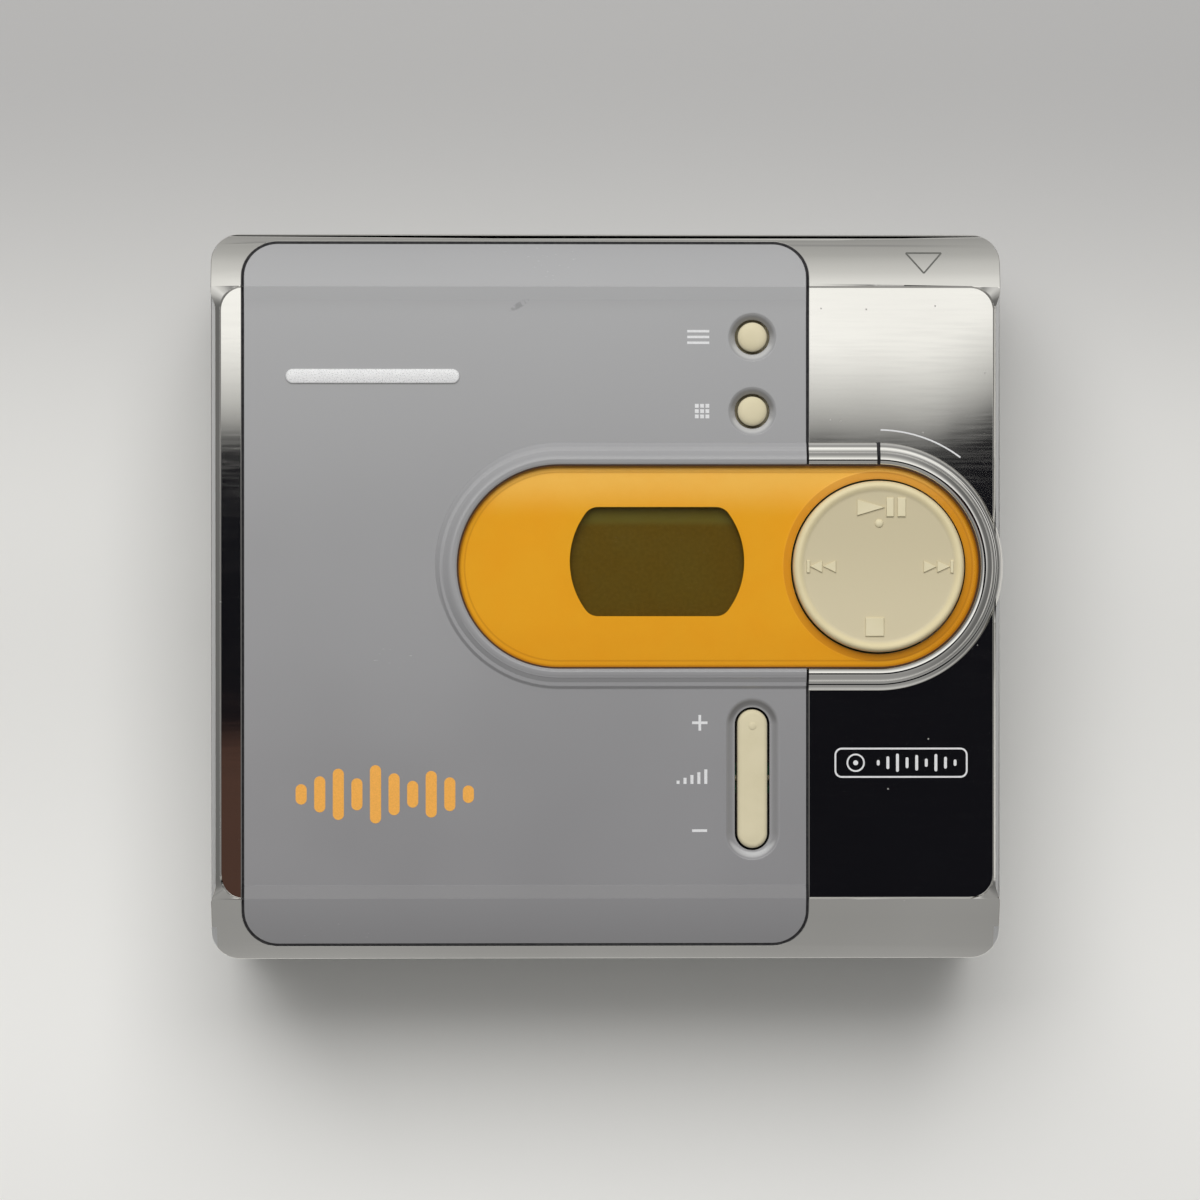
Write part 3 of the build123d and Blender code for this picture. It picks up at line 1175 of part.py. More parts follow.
# ---------------------------------------------------------------- buttons, rocker and dial
def face_button(button_y):
    """A round button with a domed cap, kept in by a flange below the lid's skin."""
    flange_top = lid_roof - PIN_PLAY
    flange_bottom = mat_top + BUTTON_TRAVEL + PIN_PLAY
    rod_z(BUTTON_RADIUS + BUTTON_FLANGE, flange_bottom, flange_top, button_x, button_y)
    rod_z(BUTTON_RADIUS, flange_top, plateau_z, button_x, button_y)
    # domed cap, turned from a short profile
    with BuildSketch(Plane.XZ.offset(-button_y)) as cap:
        with BuildLine():
            Polyline(
                (button_x, plateau_z),
                (button_x + BUTTON_RADIUS, plateau_z),
                (button_x + 0.85 * BUTTON_RADIUS, plateau_z + 0.55 * BUTTON_PROUD),
                (button_x + 0.5 * BUTTON_RADIUS, plateau_z + 0.9 * BUTTON_PROUD),
                (button_x, button_top),
                close=True,
            )
        make_face()
    revolve(cap.sketch, axis=Axis((button_x, button_y, 0), (0, 0, 1)))


with BuildPart() as menu_button:
    face_button(menu_y)
menu_button.part.label = "menu_button"

with BuildPart() as group_button:
    face_button(group_y)
group_button.part.label = "group_button"

with BuildPart() as volume_rocker:
    rocker_top = plateau_z + ROCKER_PROUD
    rocker_prism(ROCKER_WIDTH, ROCKER_LENGTH, rocker_pin_z, rocker_top)
    chamfer(volume_rocker.edges().group_by(Axis.Z)[-1], ROCKER_EDGE, 1.6 * ROCKER_EDGE)
    block(button_x - 1.4, button_x + 1.4, rocker_y - 1.0, rocker_y + 1.0, rocker_pin_z - 0.45, rocker_pin_z)
    pin_reach = ear_inner + ROCKER_EAR
    rod_x(ROCKER_PIN_RADIUS, button_x - pin_reach, button_x + pin_reach, rocker_y, rocker_pin_z)
    # raised dot that marks the louder end
    rod_z(0.45, plateau_z, rocker_top + 0.1, button_x, rocker_y + ROCKER_LENGTH / 2 - 1.7)
volume_rocker.part.label = "volume_rocker"

base_top = lid_board_top + MAT + 0.1
pivot_z = base_top + CARRIER_CLEAR + CARRIER_HEIGHT / 2
ear_near = CARRIER_OUTER + GIMBAL_EAR_GAP
ear_far = ear_near + GIMBAL_EAR
with BuildPart() as dial_base:
    rod_z(DIAL_BASE_RADIUS, lid_board_top, base_top, dial_x, WINDOW_Y)
    for side in (-1, 1):
        ear_left = dial_x + side * (ear_near + GIMBAL_EAR / 2) - GIMBAL_EAR / 2
        block(ear_left, ear_left + GIMBAL_EAR, WINDOW_Y - 1.2, WINDOW_Y + 1.2, base_top, pivot_z + 0.9)
        rod_x(GIMBAL_PIN_RADIUS + PIN_PLAY, ear_left - 0.1, ear_left + GIMBAL_EAR + 0.1, WINDOW_Y, pivot_z, Mode.SUBTRACT)
dial_base.part.label = "dial_base"

with BuildPart() as dial_carrier:
    rod_z(CARRIER_OUTER, pivot_z - CARRIER_HEIGHT / 2, pivot_z + CARRIER_HEIGHT / 2, dial_x, WINDOW_Y)
    rod_z(CARRIER_INNER, pivot_z - CARRIER_HEIGHT, pivot_z + CARRIER_HEIGHT, dial_x, WINDOW_Y, Mode.SUBTRACT)
    for side in (-1, 1):
        pin_x = dial_x + side * (CARRIER_OUTER + ear_far) / 2
        pin_half = (ear_far - CARRIER_OUTER) / 2 + 0.2
        rod_x(GIMBAL_PIN_RADIUS, pin_x - pin_half, pin_x + pin_half, WINDOW_Y, pivot_z)
        inner_pin_y = WINDOW_Y + side * (CARRIER_INNER + DIAL_HUB_RADIUS - 0.6) / 2
        inner_half_length = (CARRIER_INNER - DIAL_HUB_RADIUS + 0.6) / 2 + 0.2
        rod_y(GIMBAL_PIN_RADIUS, inner_pin_y - inner_half_length, inner_pin_y + inner_half_length, dial_x, pivot_z)
dial_carrier.part.label = "dial_carrier"

with BuildPart() as control_dial:
    dial_skin_z = dial_z - DIAL_SKIN
    skirt_bottom = plateau_z - DIAL_SKIN
    # cap with a rounded rim and a shallow hollow face, turned about the dial's middle
    with BuildSketch(Plane.XZ.offset(-WINDOW_Y)) as dial_profile:
        with BuildLine():
            Polyline(
                (dial_x + DIAL_RADIUS, dial_z - DIAL_ROUND),
                (dial_x + DIAL_RADIUS - 0.3 * DIAL_ROUND, dial_z - 0.3 * DIAL_ROUND),
                (dial_x + DIAL_RADIUS - DIAL_ROUND, dial_z),
                (dial_x + DIAL_RADIUS - DIAL_RIM, dial_z),
                (dial_x + DIAL_RADIUS - DIAL_RIM - 4 * DIAL_DISH, dial_z - DIAL_DISH),
                (dial_x, dial_z - DIAL_DISH),
                (dial_x, dial_skin_z),
                (dial_x + DIAL_RADIUS - DIAL_SKIRT, dial_skin_z),
                (dial_x + DIAL_RADIUS - DIAL_SKIRT, skirt_bottom),
                (dial_x + DIAL_RADIUS, skirt_bottom),
                close=True,
            )
        make_face()
    revolve(dial_profile.sketch, axis=Axis((dial_x, WINDOW_Y, 0), (0, 0, 1)))
    rod_z(DIAL_HUB_RADIUS, pivot_z - CARRIER_HEIGHT / 2, dial_skin_z, dial_x, WINDOW_Y)
    rod_y(GIMBAL_PIN_RADIUS + PIN_PLAY, WINDOW_Y - 4, WINDOW_Y + 4, dial_x, pivot_z, Mode.SUBTRACT)
control_dial.part.label = "control_dial"

# ---------------------------------------------------------------- disc holder
holder_inner = DISC_WIDTH / 2 + DISC_PLAY
holder_outer = holder_inner + SHEET
stop_x = holder_outer - HOLDER_STOP_INSET
with BuildPart() as disc_holder:
    block(-holder_outer, holder_outer, disc_rear, disc_front, lip_bottom, holder_top)
    block(-holder_inner, holder_inner, disc_rear, disc_front, slot_bottom, slot_top, Mode.SUBTRACT)
    lip_inner = holder_inner - HOLDER_LIP
    block(-lip_inner, lip_inner, disc_rear, disc_front, lip_bottom, slot_bottom, Mode.SUBTRACT)
    # stops at the rear
    for side in (-1, 1):
        stop_left = side * stop_x - HOLDER_STOP_WIDTH / 2
        block(stop_left, stop_left + HOLDER_STOP_WIDTH, disc_rear, disc_rear + SHEET, slot_bottom + 1.0, slot_top)
    # window in the plate over the disc's hub
    rod_z(HUB_WINDOW_RADIUS, slot_top, holder_top, 0, spindle_y, Mode.SUBTRACT)
    for x, y in BOSS_PLACES:
        rod_z(BOSS_SCREW_HEAD, slot_top, holder_top, x, y, Mode.SUBTRACT)
disc_holder.part.label = "disc_holder"

with BuildPart() as holder_screws:
    for x, y in BOSS_PLACES:
        rod_z(BOSS_SCREW_HEAD, slot_top + PIN_PLAY, holder_top, x, y)
        rod_z(SCREW_SHANK, holder_top, lid_roof - SHEET - PIN_PLAY, x, y)
holder_screws.part.label = "holder_screws"

# ================================================================ write one file per piece
os.makedirs("parts", exist_ok=True)
for piece in (
    lower_case, rubber_feet, case_screws, tray, battery_cell, battery_spring, battery_door, door_pin, battery_contact,
    main_board, board_chips, deck_plate, dampers, deck_screws, spindle_motor, turntable, guide_shafts, pickup_sled,
    objective_lens, lead_screw, drive_pinion, sled_motor, headphone_jack, power_jack, data_jack, open_slider,
    hold_slider, lid_frame, hinge_barrel, latch_hook, hinge_pins, face_panel, display_window, window_mask, display_holder, display_glass,
    lid_board, button_mat, menu_button, group_button, volume_rocker, dial_base, dial_carrier, control_dial,
    disc_holder, holder_screws,
):
    export_step(piece.part, f"parts/{piece.part.label}.step")
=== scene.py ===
from math import acos, atan2, cos, degrees, dist, exp, hypot, pi, radians, sin, sqrt

import bmesh
import bpy
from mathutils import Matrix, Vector


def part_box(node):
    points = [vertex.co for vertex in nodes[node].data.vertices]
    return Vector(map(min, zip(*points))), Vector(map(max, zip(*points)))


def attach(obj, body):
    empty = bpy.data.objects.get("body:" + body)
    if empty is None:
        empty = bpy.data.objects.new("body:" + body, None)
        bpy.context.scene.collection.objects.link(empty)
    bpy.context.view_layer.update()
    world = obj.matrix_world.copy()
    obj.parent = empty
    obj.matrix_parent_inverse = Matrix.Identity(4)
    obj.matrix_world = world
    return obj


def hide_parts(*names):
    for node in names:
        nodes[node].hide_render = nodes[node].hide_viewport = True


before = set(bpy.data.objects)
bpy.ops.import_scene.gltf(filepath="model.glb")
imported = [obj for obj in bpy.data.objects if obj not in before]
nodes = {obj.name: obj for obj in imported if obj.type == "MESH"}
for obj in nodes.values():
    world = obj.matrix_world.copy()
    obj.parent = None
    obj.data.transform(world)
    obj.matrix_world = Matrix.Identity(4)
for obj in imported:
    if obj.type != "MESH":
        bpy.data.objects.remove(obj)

# objects of Blender's start-up file
for name in ("Cube", "Light", "Camera"):
    if name in bpy.data.objects:
        bpy.data.objects.remove(bpy.data.objects[name])

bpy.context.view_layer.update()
scene = bpy.context.scene

MM = 0.001


def tone(red, green, blue):
    """A colour given as it shows on screen, 0 to 255, as linear values."""

    def linear(value):
        value /= 255
        return value / 12.92 if value <= 0.04045 else ((value + 0.055) / 1.055) ** 2.4

    return (linear(red), linear(green), linear(blue), 1.0)


def shade(colour, factor):
    """The same colour, lighter or darker."""
    return tuple(min(1.0, part * factor) for part in colour[:3]) + (1.0,)


def photo(px, py):
    """Place on the face, in millimetres, of a point of the photograph."""
    return (px - 606.0) / 9.6, (596.5 - py) / 9.6


# ---- places, in millimetres
def span(node):
    """Lowest and highest corner of a CAD node."""
    low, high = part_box(node)
    return low / MM, high / MM


def middle(node):
    low, high = span(node)
    return (low + high) / 2


dial_low, dial_high = span("control_dial")
rocker_low, rocker_high = span("volume_rocker")
panel_low, panel_high = span("face_panel")
mask_low, mask_high = span("window_mask")
DIAL = middle("control_dial")
DIAL_R = (dial_high.x - dial_low.x) / 2
MENU = middle("menu_button")
GROUP = middle("group_button")
ROCKER = middle("volume_rocker")

# the window lies between two half circles; its right one is round the dial
WINDOW_LEFT, WINDOW_RIGHT = -4.9, DIAL.x
WINDOW_Y = DIAL.y
WINDOW_TOP = span("display_window")[1].z
DISPLAY_X, DISPLAY_Y = 5.3, 3.675
PRINT_Z = 27.6

# flat face of the panel and the chrome, and a level below it where thin pieces end out of sight
PANEL_Z = 27.75
FACE_FOOT = 27.6
PANEL_RIGHT = 20.8
SEAM = 0.25

# creases between the flat face and the sloping bands, and round corners of the flat face
FRONT_CREASE, REAR_CREASE = 32.2, -31.3
FACE_CORNER = 2.4

# rims of the chrome at its sides, which run out beside the bulge round the dial
RIM_TOP, RIM_FOOT = 28.2, 28.01
RIM_EDGE = 40.48
RIM_FADE = 1.5
BULGE_R = 13.0


# ---- materials
class Graph:
    """A node tree, with short ways to add its nodes and to join them."""

    def __init__(self, tree):
        self.tree = tree

    def put(self, value, socket):
        """Sets a socket to a constant, or links another node's output into it."""
        if isinstance(value, (int, float, str, tuple)):
            socket.default_value = value
        else:
            self.tree.links.new(value, socket)

    def add(self, kind, inputs=(), **settings):
        """A new node; its inputs are constants or outputs, by the socket's name or place."""
        node = self.tree.nodes.new(kind)
        for key, value in settings.items():
            setattr(node, key, value)
        for key, value in dict(inputs).items():
            self.put(value, node.inputs[key])
        return node

    def axes(self, vector):
        return tuple(self.add("ShaderNodeSeparateXYZ", {0: vector}).outputs)

    def calc(self, operation, *values):
        """A Math node. A longer row of values is worked off two at a time."""
        if len(values) > 2 and operation != "MULTIPLY_ADD":
            values = (self.calc(operation, *values[:-1]), values[-1])
        return self.add("ShaderNodeMath", enumerate(values), operation=operation).outputs[0]

    def product(self, *values):
        return self.calc("MULTIPLY", *values)

    def total(self, *values):
        return self.calc("ADD", *values)

    def squares(self, first, second):
        return self.total(self.product(first, first), self.product(second, second))

    def distance(self, first, second):
        return self.calc("SQRT", self.squares(first, second))

    def between(self, value, low, high, out_low=0.0, out_high=1.0, soft=True):
        """A value mapped from low..high to out_low..out_high, held at both ends."""
        numbers = {"Value": value, "From Min": low, "From Max": high, "To Min": out_low, "To Max": out_high}
        course = "SMOOTHSTEP" if soft else "LINEAR"
        return self.add("ShaderNodeMapRange", numbers, interpolation_type=course, clamp=True).outputs[0]

    def within(self, value, low, high, edge):
        """1 where a value lies between low and high, and 0 outside, with soft edges."""
        return self.product(self.between(value, low, low + edge), self.between(value, high, high - edge))

    def blend(self, factor, first, second, mode="MIX"):
        """Two colours mixed by a factor; sockets 6 and 7 and output 2 are the node's colours."""
        colours = {0: factor, 6: first, 7: second}
        return self.add("ShaderNodeMix", colours, data_type="RGBA", blend_type=mode).outputs[2]

    def layer(self, ground, colour, strength, factor):
        """A colour laid over a ground, as far as strength where the factor is 1."""
        return self.blend(self.product(factor, strength), ground, colour)


class Finish(Graph):
    """A procedural material for a slot of the record. It reads a piece's own place, in millimetres."""

    # the first finish of each slot, which the CAD nodes take
    of_slot = {}

    def __init__(self, name, slot, colour, rough, **constants):
        self.slot = slot
        self.of_slot.setdefault(slot, self)
        self.material = bpy.data.materials.new(name)
        self.material.use_nodes = True
        super().__init__(self.material.node_tree)
        self.shader = self.tree.nodes["Principled BSDF"]
        for key, value in {"Base_Color": colour, "Roughness": rough, **constants}.items():
            self.drive(key.replace("_", " "), value)
        coords = self.add("ShaderNodeTexCoord").outputs
        scaled = self.add("ShaderNodeVectorMath", {0: coords["Object"]}, operation="SCALE")
        scaled.inputs["Scale"].default_value = 1 / MM
        self.place = scaled.outputs[0]
        self.x, self.y, self.z = self.axes(self.place)
        _, self.turned_y, self.turned_z = self.axes(coords["Normal"])

    def noise(self, scale, detail=3.0, stretch=None):
        place = self.place
        if stretch:
            place = self.add("ShaderNodeVectorMath", {0: place, 1: stretch}, operation="MULTIPLY").outputs[0]
        return self.add("ShaderNodeTexNoise", {"Vector": place, "Scale": scale, "Detail": detail}).outputs[0]

    def cells(self, scale):
        return self.add("ShaderNodeTexVoronoi", {"Vector": self.place, "Scale": scale}).outputs["Distance"]

    def drive(self, socket, value):
        self.put(value, self.shader.inputs[socket])

    def tint(self, texture, darker, lighter, low=0.3, high=0.7):
        """Base colour that runs from darker to lighter as a texture goes from low to high."""
        mixed = self.blend(self.between(texture, low, high), darker, lighter)
        self.drive("Base Color", mixed)
        return mixed

    def gloss(self, texture, low, high):
        """Roughness that runs from low to high with a texture."""
        self.drive("Roughness", self.between(texture, 0.3, 0.7, low, high))

    def relief(self, texture, depth, strength):
        """A bump of depth millimetres."""
        bump = {"Height": texture, "Distance": depth * MM, "Strength": strength}
        self.drive("Normal", self.add("ShaderNodeBump", bump).outputs["Normal"])


# mirror chrome of the lid, with fine wiping marks and dust; the narrow shoulders at the sides are satin
chrome = Finish("chrome_plate", "lid_chrome", (0.83, 0.82, 0.79, 1.0), 0.05, Metallic=1.0)
shoulder = chrome.product(
    chrome.between(chrome.calc("ABSOLUTE", chrome.x), RIM_EDGE - 0.06, RIM_EDGE - 0.02),
    chrome.between(chrome.z, 27.02, 27.0),
    chrome.between(chrome.turned_z, 0.5, 0.7),
)
polish = chrome.between(chrome.noise(1.4, 4.0, (0.12, 2.0, 1.0)), 0.35, 0.7, 0.035, 0.055)
marks = chrome.between(chrome.noise(9.0, 2.0, (0.1, 1.6, 1.0)), 0.66, 0.78)
dust = chrome.between(chrome.cells(0.42), 0.05, 0.02)
polish = chrome.total(polish, chrome.product(marks, 0.03), chrome.product(dust, 0.35))
chrome.drive("Roughness", chrome.calc("MAXIMUM", polish, chrome.product(shoulder, 0.4)))
cloud = chrome.between(chrome.noise(0.05, 2.0), 0.3, 0.7)
mirror = chrome.blend(cloud, (0.84, 0.825, 0.79, 1.0), (0.89, 0.875, 0.84, 1.0))
chrome.drive("Base Color", chrome.blend(shoulder, mirror, (0.92, 0.92, 0.92, 1.0)))
chrome.relief(chrome.noise(0.09, 1.0, (1.6, 0.5, 1.0)), 0.02, 0.3)

# satin silver paint of the case
case = Finish("satin_silver", "case_grey", tone(186, 187, 186), 0.36, Metallic=0.55)
flake = case.noise(16.0, 2.0)
case.tint(case.noise(0.06, 3.0), tone(184, 185, 185), tone(189, 190, 188))
case.gloss(flake, 0.30, 0.42)
case.relief(flake, 0.004, 0.5)

# glossy grey moulding of the face panel, with specks, and painted light: it is painted paler towards the
# front
panel = Finish(
    "grey_gloss", "panel_grey", tone(150, 150, 153), 0.24, Metallic=0.2, Coat_Weight=0.6, Coat_Roughness=0.22,
)
soft = panel.noise(0.045, 2.0)
# painted light: the panel is painted paler towards the front
painted_light_ramp = panel.between(panel.y, -36.0, 34.0, soft=False)
ground = panel.blend(painted_light_ramp, tone(148, 147, 149), tone(170, 170, 171))
ground = panel.layer(ground, tone(120, 120, 122), 0.12, panel.between(panel.cells(0.9), 0.05, 0.02))
# a rubbed spot below the front crease, long and slanting
spot_x, spot_y = panel.total(panel.x, 9.0), panel.total(panel.y, -30.3)
lengthwise = panel.total(panel.product(spot_x, 0.86), panel.product(spot_y, 0.5))
crosswise = panel.total(panel.product(spot_x, -0.5), panel.product(spot_y, 0.86))
spread = panel.squares(panel.product(lengthwise, 0.8), panel.product(crosswise, 3.0))
spot = panel.product(panel.between(spread, 1.2, 0.3), panel.between(panel.noise(3.0, 3.0), 0.35, 0.6))
ground = panel.layer(ground, tone(116, 116, 118), 0.5, spot)
# walls of the dishes: painted shade where they face the rear, and a painted highlight where they face the
# front
walls = panel.product(
    panel.between(panel.z, PANEL_Z - 0.03, PANEL_Z - 0.25),
    panel.between(panel.turned_z, 0.99, 0.95),
    panel.between(panel.calc("ABSOLUTE", panel.y), 31.0, 30.9),
)
for start, end, strength, colour in (
    (0.1, -0.2, 0.55, tone(74, 72, 70)),
    (0.12, 0.3, 0.5, tone(228, 228, 228)),
):
    facing = panel.between(panel.turned_y, start, end, 0.0, strength)
    ground = panel.blend(panel.product(walls, facing), ground, colour)
# painted shade: the band beyond the front crease is painted a little darker
ground = panel.blend(panel.between(panel.y, 32.15, 32.3, 0.0, 0.2), ground, tone(150, 150, 151))
# the slopes beside the two creases differ little from the flat face: painted shade on the slope beside the
# rear crease, and painted light on the slope beside the front crease
for low, high, start, end, strength, colour in (
    (-31.5, -29.85, 0.05, 0.12, 0.5, tone(96, 95, 96)),
    (30.75, 32.25, -0.05, -0.12, 0.35, tone(205, 205, 206)),
):
    slope = panel.product(panel.within(panel.y, low, high, 0.1), panel.between(panel.turned_y, start, end))
    ground = panel.layer(ground, colour, strength, slope)
panel.drive("Base Color", panel.blend(panel.between(soft, 0.25, 0.75, 0.0, 0.1), ground, tone(168, 168, 170)))
rub = panel.between(panel.noise(6.0, 3.0, (0.2, 1.2, 1.0)), 0.62, 0.72)
panel.drive("Roughness", panel.total(panel.between(soft, 0.3, 0.7, 0.18, 0.26), panel.product(rub, 0.015)))
panel.relief(panel.noise(2.2, 2.0), 0.006, 0.25)

# clear amber window: a dyed transparent sheet with a mirror on it that is stronger at a slant
amber = Finish("amber_clear", "amber_window", (1.0, 1.0, 1.0, 1.0), 0.04, Metallic=1.0)
film = amber.noise(0.3, 3.0)
amber.tint(film, (0.94, 0.94, 0.94, 1.0), (1.0, 1.0, 1.0, 1.0))
amber.drive("Roughness", amber.between(amber.noise(1.1, 3.0, (0.4, 1.4, 1.0)), 0.4, 0.7, 0.03, 0.07))
amber.relief(amber.noise(0.2, 1.0), 0.02, 0.2)
dye = amber.blend(amber.between(film, 0.3, 0.7), (1.0, 0.92, 0.73, 1.0), (1.0, 0.94, 0.77, 1.0))
dyed = amber.add("ShaderNodeBsdfTransparent", {"Color": dye})
slant = amber.add("ShaderNodeLayerWeight", {"Blend": 0.5})
mirrored = amber.calc("MULTIPLY_ADD", amber.calc("POWER", slant.outputs["Facing"], 5.0), 0.96, 0.04)
pane = amber.add("ShaderNodeMixShader", {0: mirrored, 1: dyed.outputs[0], 2: amber.shader.outputs[0]})
amber.put(pane.outputs[0], amber.tree.nodes["Material Output"].inputs["Surface"])

# opaque amber print behind the window; its paler front edge is a painted reflection, and it is darker towards
# the rear
mask = Finish("amber_print", "amber_mask", tone(236, 182, 48), 0.5)
# painted reflection: the print is paler towards its front edge
base = mask.blend(mask.between(mask.y, 8.0, 12.5), tone(229, 171, 39), tone(242, 197, 106))
base = mask.layer(base, tone(224, 163, 32), 0.5, mask.between(mask.y, -2.0, -5.0))
# painted shade in rings round the dial, where the window dips, and more to the dial's right
step_x = mask.calc("SUBTRACT", mask.x, DIAL.x)
step_y = mask.calc("SUBTRACT", mask.y, DIAL.y)
off_dial = mask.calc("SUBTRACT", mask.distance(step_x, step_y), DIAL_R)
steps = mask.calc(
    "MAXIMUM",
    mask.between(off_dial, 1.02, 0.92, 0.0, 0.5),
    mask.between(off_dial, 0.55, 0.2, 0.0, 0.75),
    mask.between(step_x, 2.0, 8.0, 0.0, 0.42),
)
base = mask.blend(steps, base, tone(184, 120, 10))
# painted shade: a fine dark line inside the window's edge, for the bevel of the window above, and a darker
# band at the edge itself
end_x = mask.calc("MINIMUM", mask.calc("MAXIMUM", mask.x, WINDOW_LEFT), WINDOW_RIGHT)
off_line = mask.distance(mask.calc("SUBTRACT", mask.x, end_x), step_y)
line = mask.product(mask.between(off_line, 9.66, 9.76), mask.between(off_line, 9.94, 9.8))
base = mask.layer(base, tone(150, 92, 14), 0.3, line)
base = mask.blend(mask.between(off_line, 10.12, 10.4, 0.0, 0.6), base, tone(150, 88, 10))
stain = mask.between(mask.noise(1.5, 3.0), 0.3, 0.7, 0.0, 0.06)
mask.drive("Base Color", mask.blend(stain, base, tone(214, 152, 30)))
mask.relief(mask.noise(12.0, 1.0), 0.004, 0.3)

# dark face of the display, with fine columns, a little greener along its front edge; that edge is also
# painted lighter, as painted light against the shade of the print above
lcd = Finish("display_face", "display_glass", tone(78, 72, 30), 0.32, Coat_Weight=0.3, Coat_Roughness=0.2)
face = lcd.blend(lcd.between(lcd.noise(2.5, 4.0), 0.3, 0.7), tone(84, 75, 22), tone(92, 82, 28))
lcd.drive("Base Color", lcd.blend(lcd.between(lcd.y, 7.2, 8.1), face, tone(94, 98, 58)))
columns = lcd.add("ShaderNodeTexWave", {"Vector": lcd.place, "Scale": 3.4, "Detail": 0.0})
lcd.relief(columns.outputs["Fac"], 0.002, 0.2)


def cream_moulding(name, dark, light):
    """Cream plastic of the dial, the buttons and the rocker, with a fine mould grain."""
    finish = Finish(name, "cream_plastic", shade(light, 0.95), 0.42)
    grain = finish.noise(14.0, 3.0)
    finish.base = finish.tint(finish.noise(0.35, 3.0), dark, light, 0.25, 0.75)
    finish.gloss(grain, 0.36, 0.5)
    finish.relief(grain, 0.006, 0.4)
    return finish


cream = cream_moulding("cream_moulding", tone(209, 199, 167), tone(214, 204, 173))
sign_cream = cream_moulding("sign_moulding", tone(213, 203, 169), tone(219, 209, 177))

# the hollow of the dial is painted darker than its rim, as painted shade, and darker towards the front; it
# has dark specks
dial_skin = cream_moulding("dial_moulding", tone(216, 203, 163), tone(221, 208, 169))
from_x = dial_skin.calc("SUBTRACT", dial_skin.x, DIAL.x)
from_y = dial_skin.calc("SUBTRACT", dial_skin.y, DIAL.y)
painted_hollow_shade = dial_skin.blend(dial_skin.between(from_y, 5.0, -6.0), tone(197, 186, 155), tone(205, 194, 163))
specks = dial_skin.between(dial_skin.cells(1.3), 0.06, 0.03)
painted_hollow_shade = dial_skin.layer(painted_hollow_shade, tone(166, 152, 122), 0.35, specks)
hollow = dial_skin.between(dial_skin.distance(from_x, from_y), DIAL_R - 0.7, DIAL_R - 1.2)
dial_skin.drive("Base Color", dial_skin.blend(hollow, dial_skin.base, painted_hollow_shade))


def moulding(name, slot, colour, rough, tints, glosses, grain):
    """Plain plastic or rubber. A texture is (scale, detail) and comes first in each row."""
    finish = Finish(name, slot, colour, rough)
    finish.tint(finish.noise(*tints[0]), *tints[1:])
    finish.gloss(finish.noise(glosses[0]), *glosses[1:])
    finish.relief(finish.noise(*grain[0]), *grain[1:])
    return finish


moulding(
    "white_moulding", "white_plastic", tone(222, 222, 218), 0.45,
    ((1.2, 3.0), tone(214, 214, 209), tone(228, 228, 224)), (9.0, 0.4, 0.52), ((11.0, 3.0), 0.006, 0.4),
)
moulding(
    "black_moulding", "black_plastic", tone(34, 34, 36), 0.48,
    ((1.0, 4.0), tone(28, 28, 30), tone(42, 42, 44)), (8.0, 0.4, 0.6), ((10.0, 2.0), 0.01, 0.5),
)
rubber = moulding(
    "soft_rubber", "rubber", tone(46, 46, 48), 0.85,
    ((3.0, 4.0), tone(38, 38, 40), tone(56, 55, 56)), (6.0, 0.75, 0.95), ((7.0, 4.0), 0.03, 0.6),
)


def ink(name, colour, rough=0.4, slot=None):
    """Print and painted shade of the thin pieces that only this script makes."""
    return moulding(
        name, slot, colour, rough,
        ((7.0, 3.0), shade(colour, 0.93), shade(colour, 1.05)), (12.0, rough * 0.85, rough * 1.15),
        ((14.0, 3.0), 0.002, 0.3),
    )


white_ink = ink("white_print", tone(219, 219, 220))
orange_ink = ink("orange_print", tone(236, 170, 78))
# painted shade of a groove
painted_groove_shade = ink("groove_shade", tone(96, 96, 92), 0.5)
# painted shade of the gap round the window
seal_brown = ink("seal_brown", tone(74, 48, 26), 0.5, "rubber")

badge_metal = Finish("badge_plate", "lid_chrome", tone(238, 238, 238), 0.3, Metallic=0.35)
badge_metal.tint(badge_metal.noise(5.0, 3.0, (0.2, 2.0, 1.0)), tone(230, 230, 231), tone(244, 244, 244))
badge_metal.gloss(badge_metal.noise(8.0), 0.25, 0.36)


def brushed(name, slot, grey, rough, stretch, depth):
    """Bare sheet metal with a brushed grain."""
    colour = (*grey, 1.0)
    finish = Finish(name, slot, colour, rough, Metallic=1.0)
    streak = finish.noise(4.0, 4.0, stretch)
    finish.tint(streak, shade(colour, 0.86), shade(colour, 1.1))
    finish.gloss(streak, rough * 0.8, rough * 1.25)
    finish.relief(streak, depth, 0.4)


brushed("sheet_steel", "deck_steel", (0.60, 0.60, 0.59), 0.34, (0.08, 2.5, 2.5), 0.01)
brushed("screw_metal", "screw_steel", (0.50, 0.50, 0.50), 0.26, (2.0, 2.0, 0.4), 0.006)
brushed("spring_wire", "spring_steel", (0.66, 0.65, 0.62), 0.22, (3.0, 3.0, 3.0), 0.004)
brushed("motor_shell", "motor_can", (0.55, 0.56, 0.57), 0.3, (1.0, 1.0, 0.1), 0.008)

# circuit board: lacquer over copper tracks, with small pads
board = Finish("board_lacquer", "board_green", tone(24, 92, 60), 0.3, Coat_Weight=0.4, Coat_Roughness=0.12)
bricks = {
    "Color1": tone(30, 106, 70), "Color2": tone(22, 88, 58), "Mortar": tone(54, 132, 88),
    "Vector": board.place, "Scale": 0.24, "Mortar Size": 0.045, "Mortar Smooth": 0.2,
    "Brick Width": 1.1, "Row Height": 0.32,
}
brick = board.add("ShaderNodeTexBrick", bricks, offset=0.37)
tracks = board.between(board.noise(0.9, 1.0, (0.25, 1.8, 1.0)), 0.52, 0.54)
lacquer = board.layer(brick.outputs["Color"], tone(50, 128, 84), 0.5, tracks)
pads = board.between(board.cells(0.45), 0.16, 0.12)
board.drive("Base Color", board.blend(pads, lacquer, tone(196, 184, 140)))
board.gloss(board.noise(3.0), 0.25, 0.38)
board.relief(brick.outputs["Fac"], 0.02, 0.4)

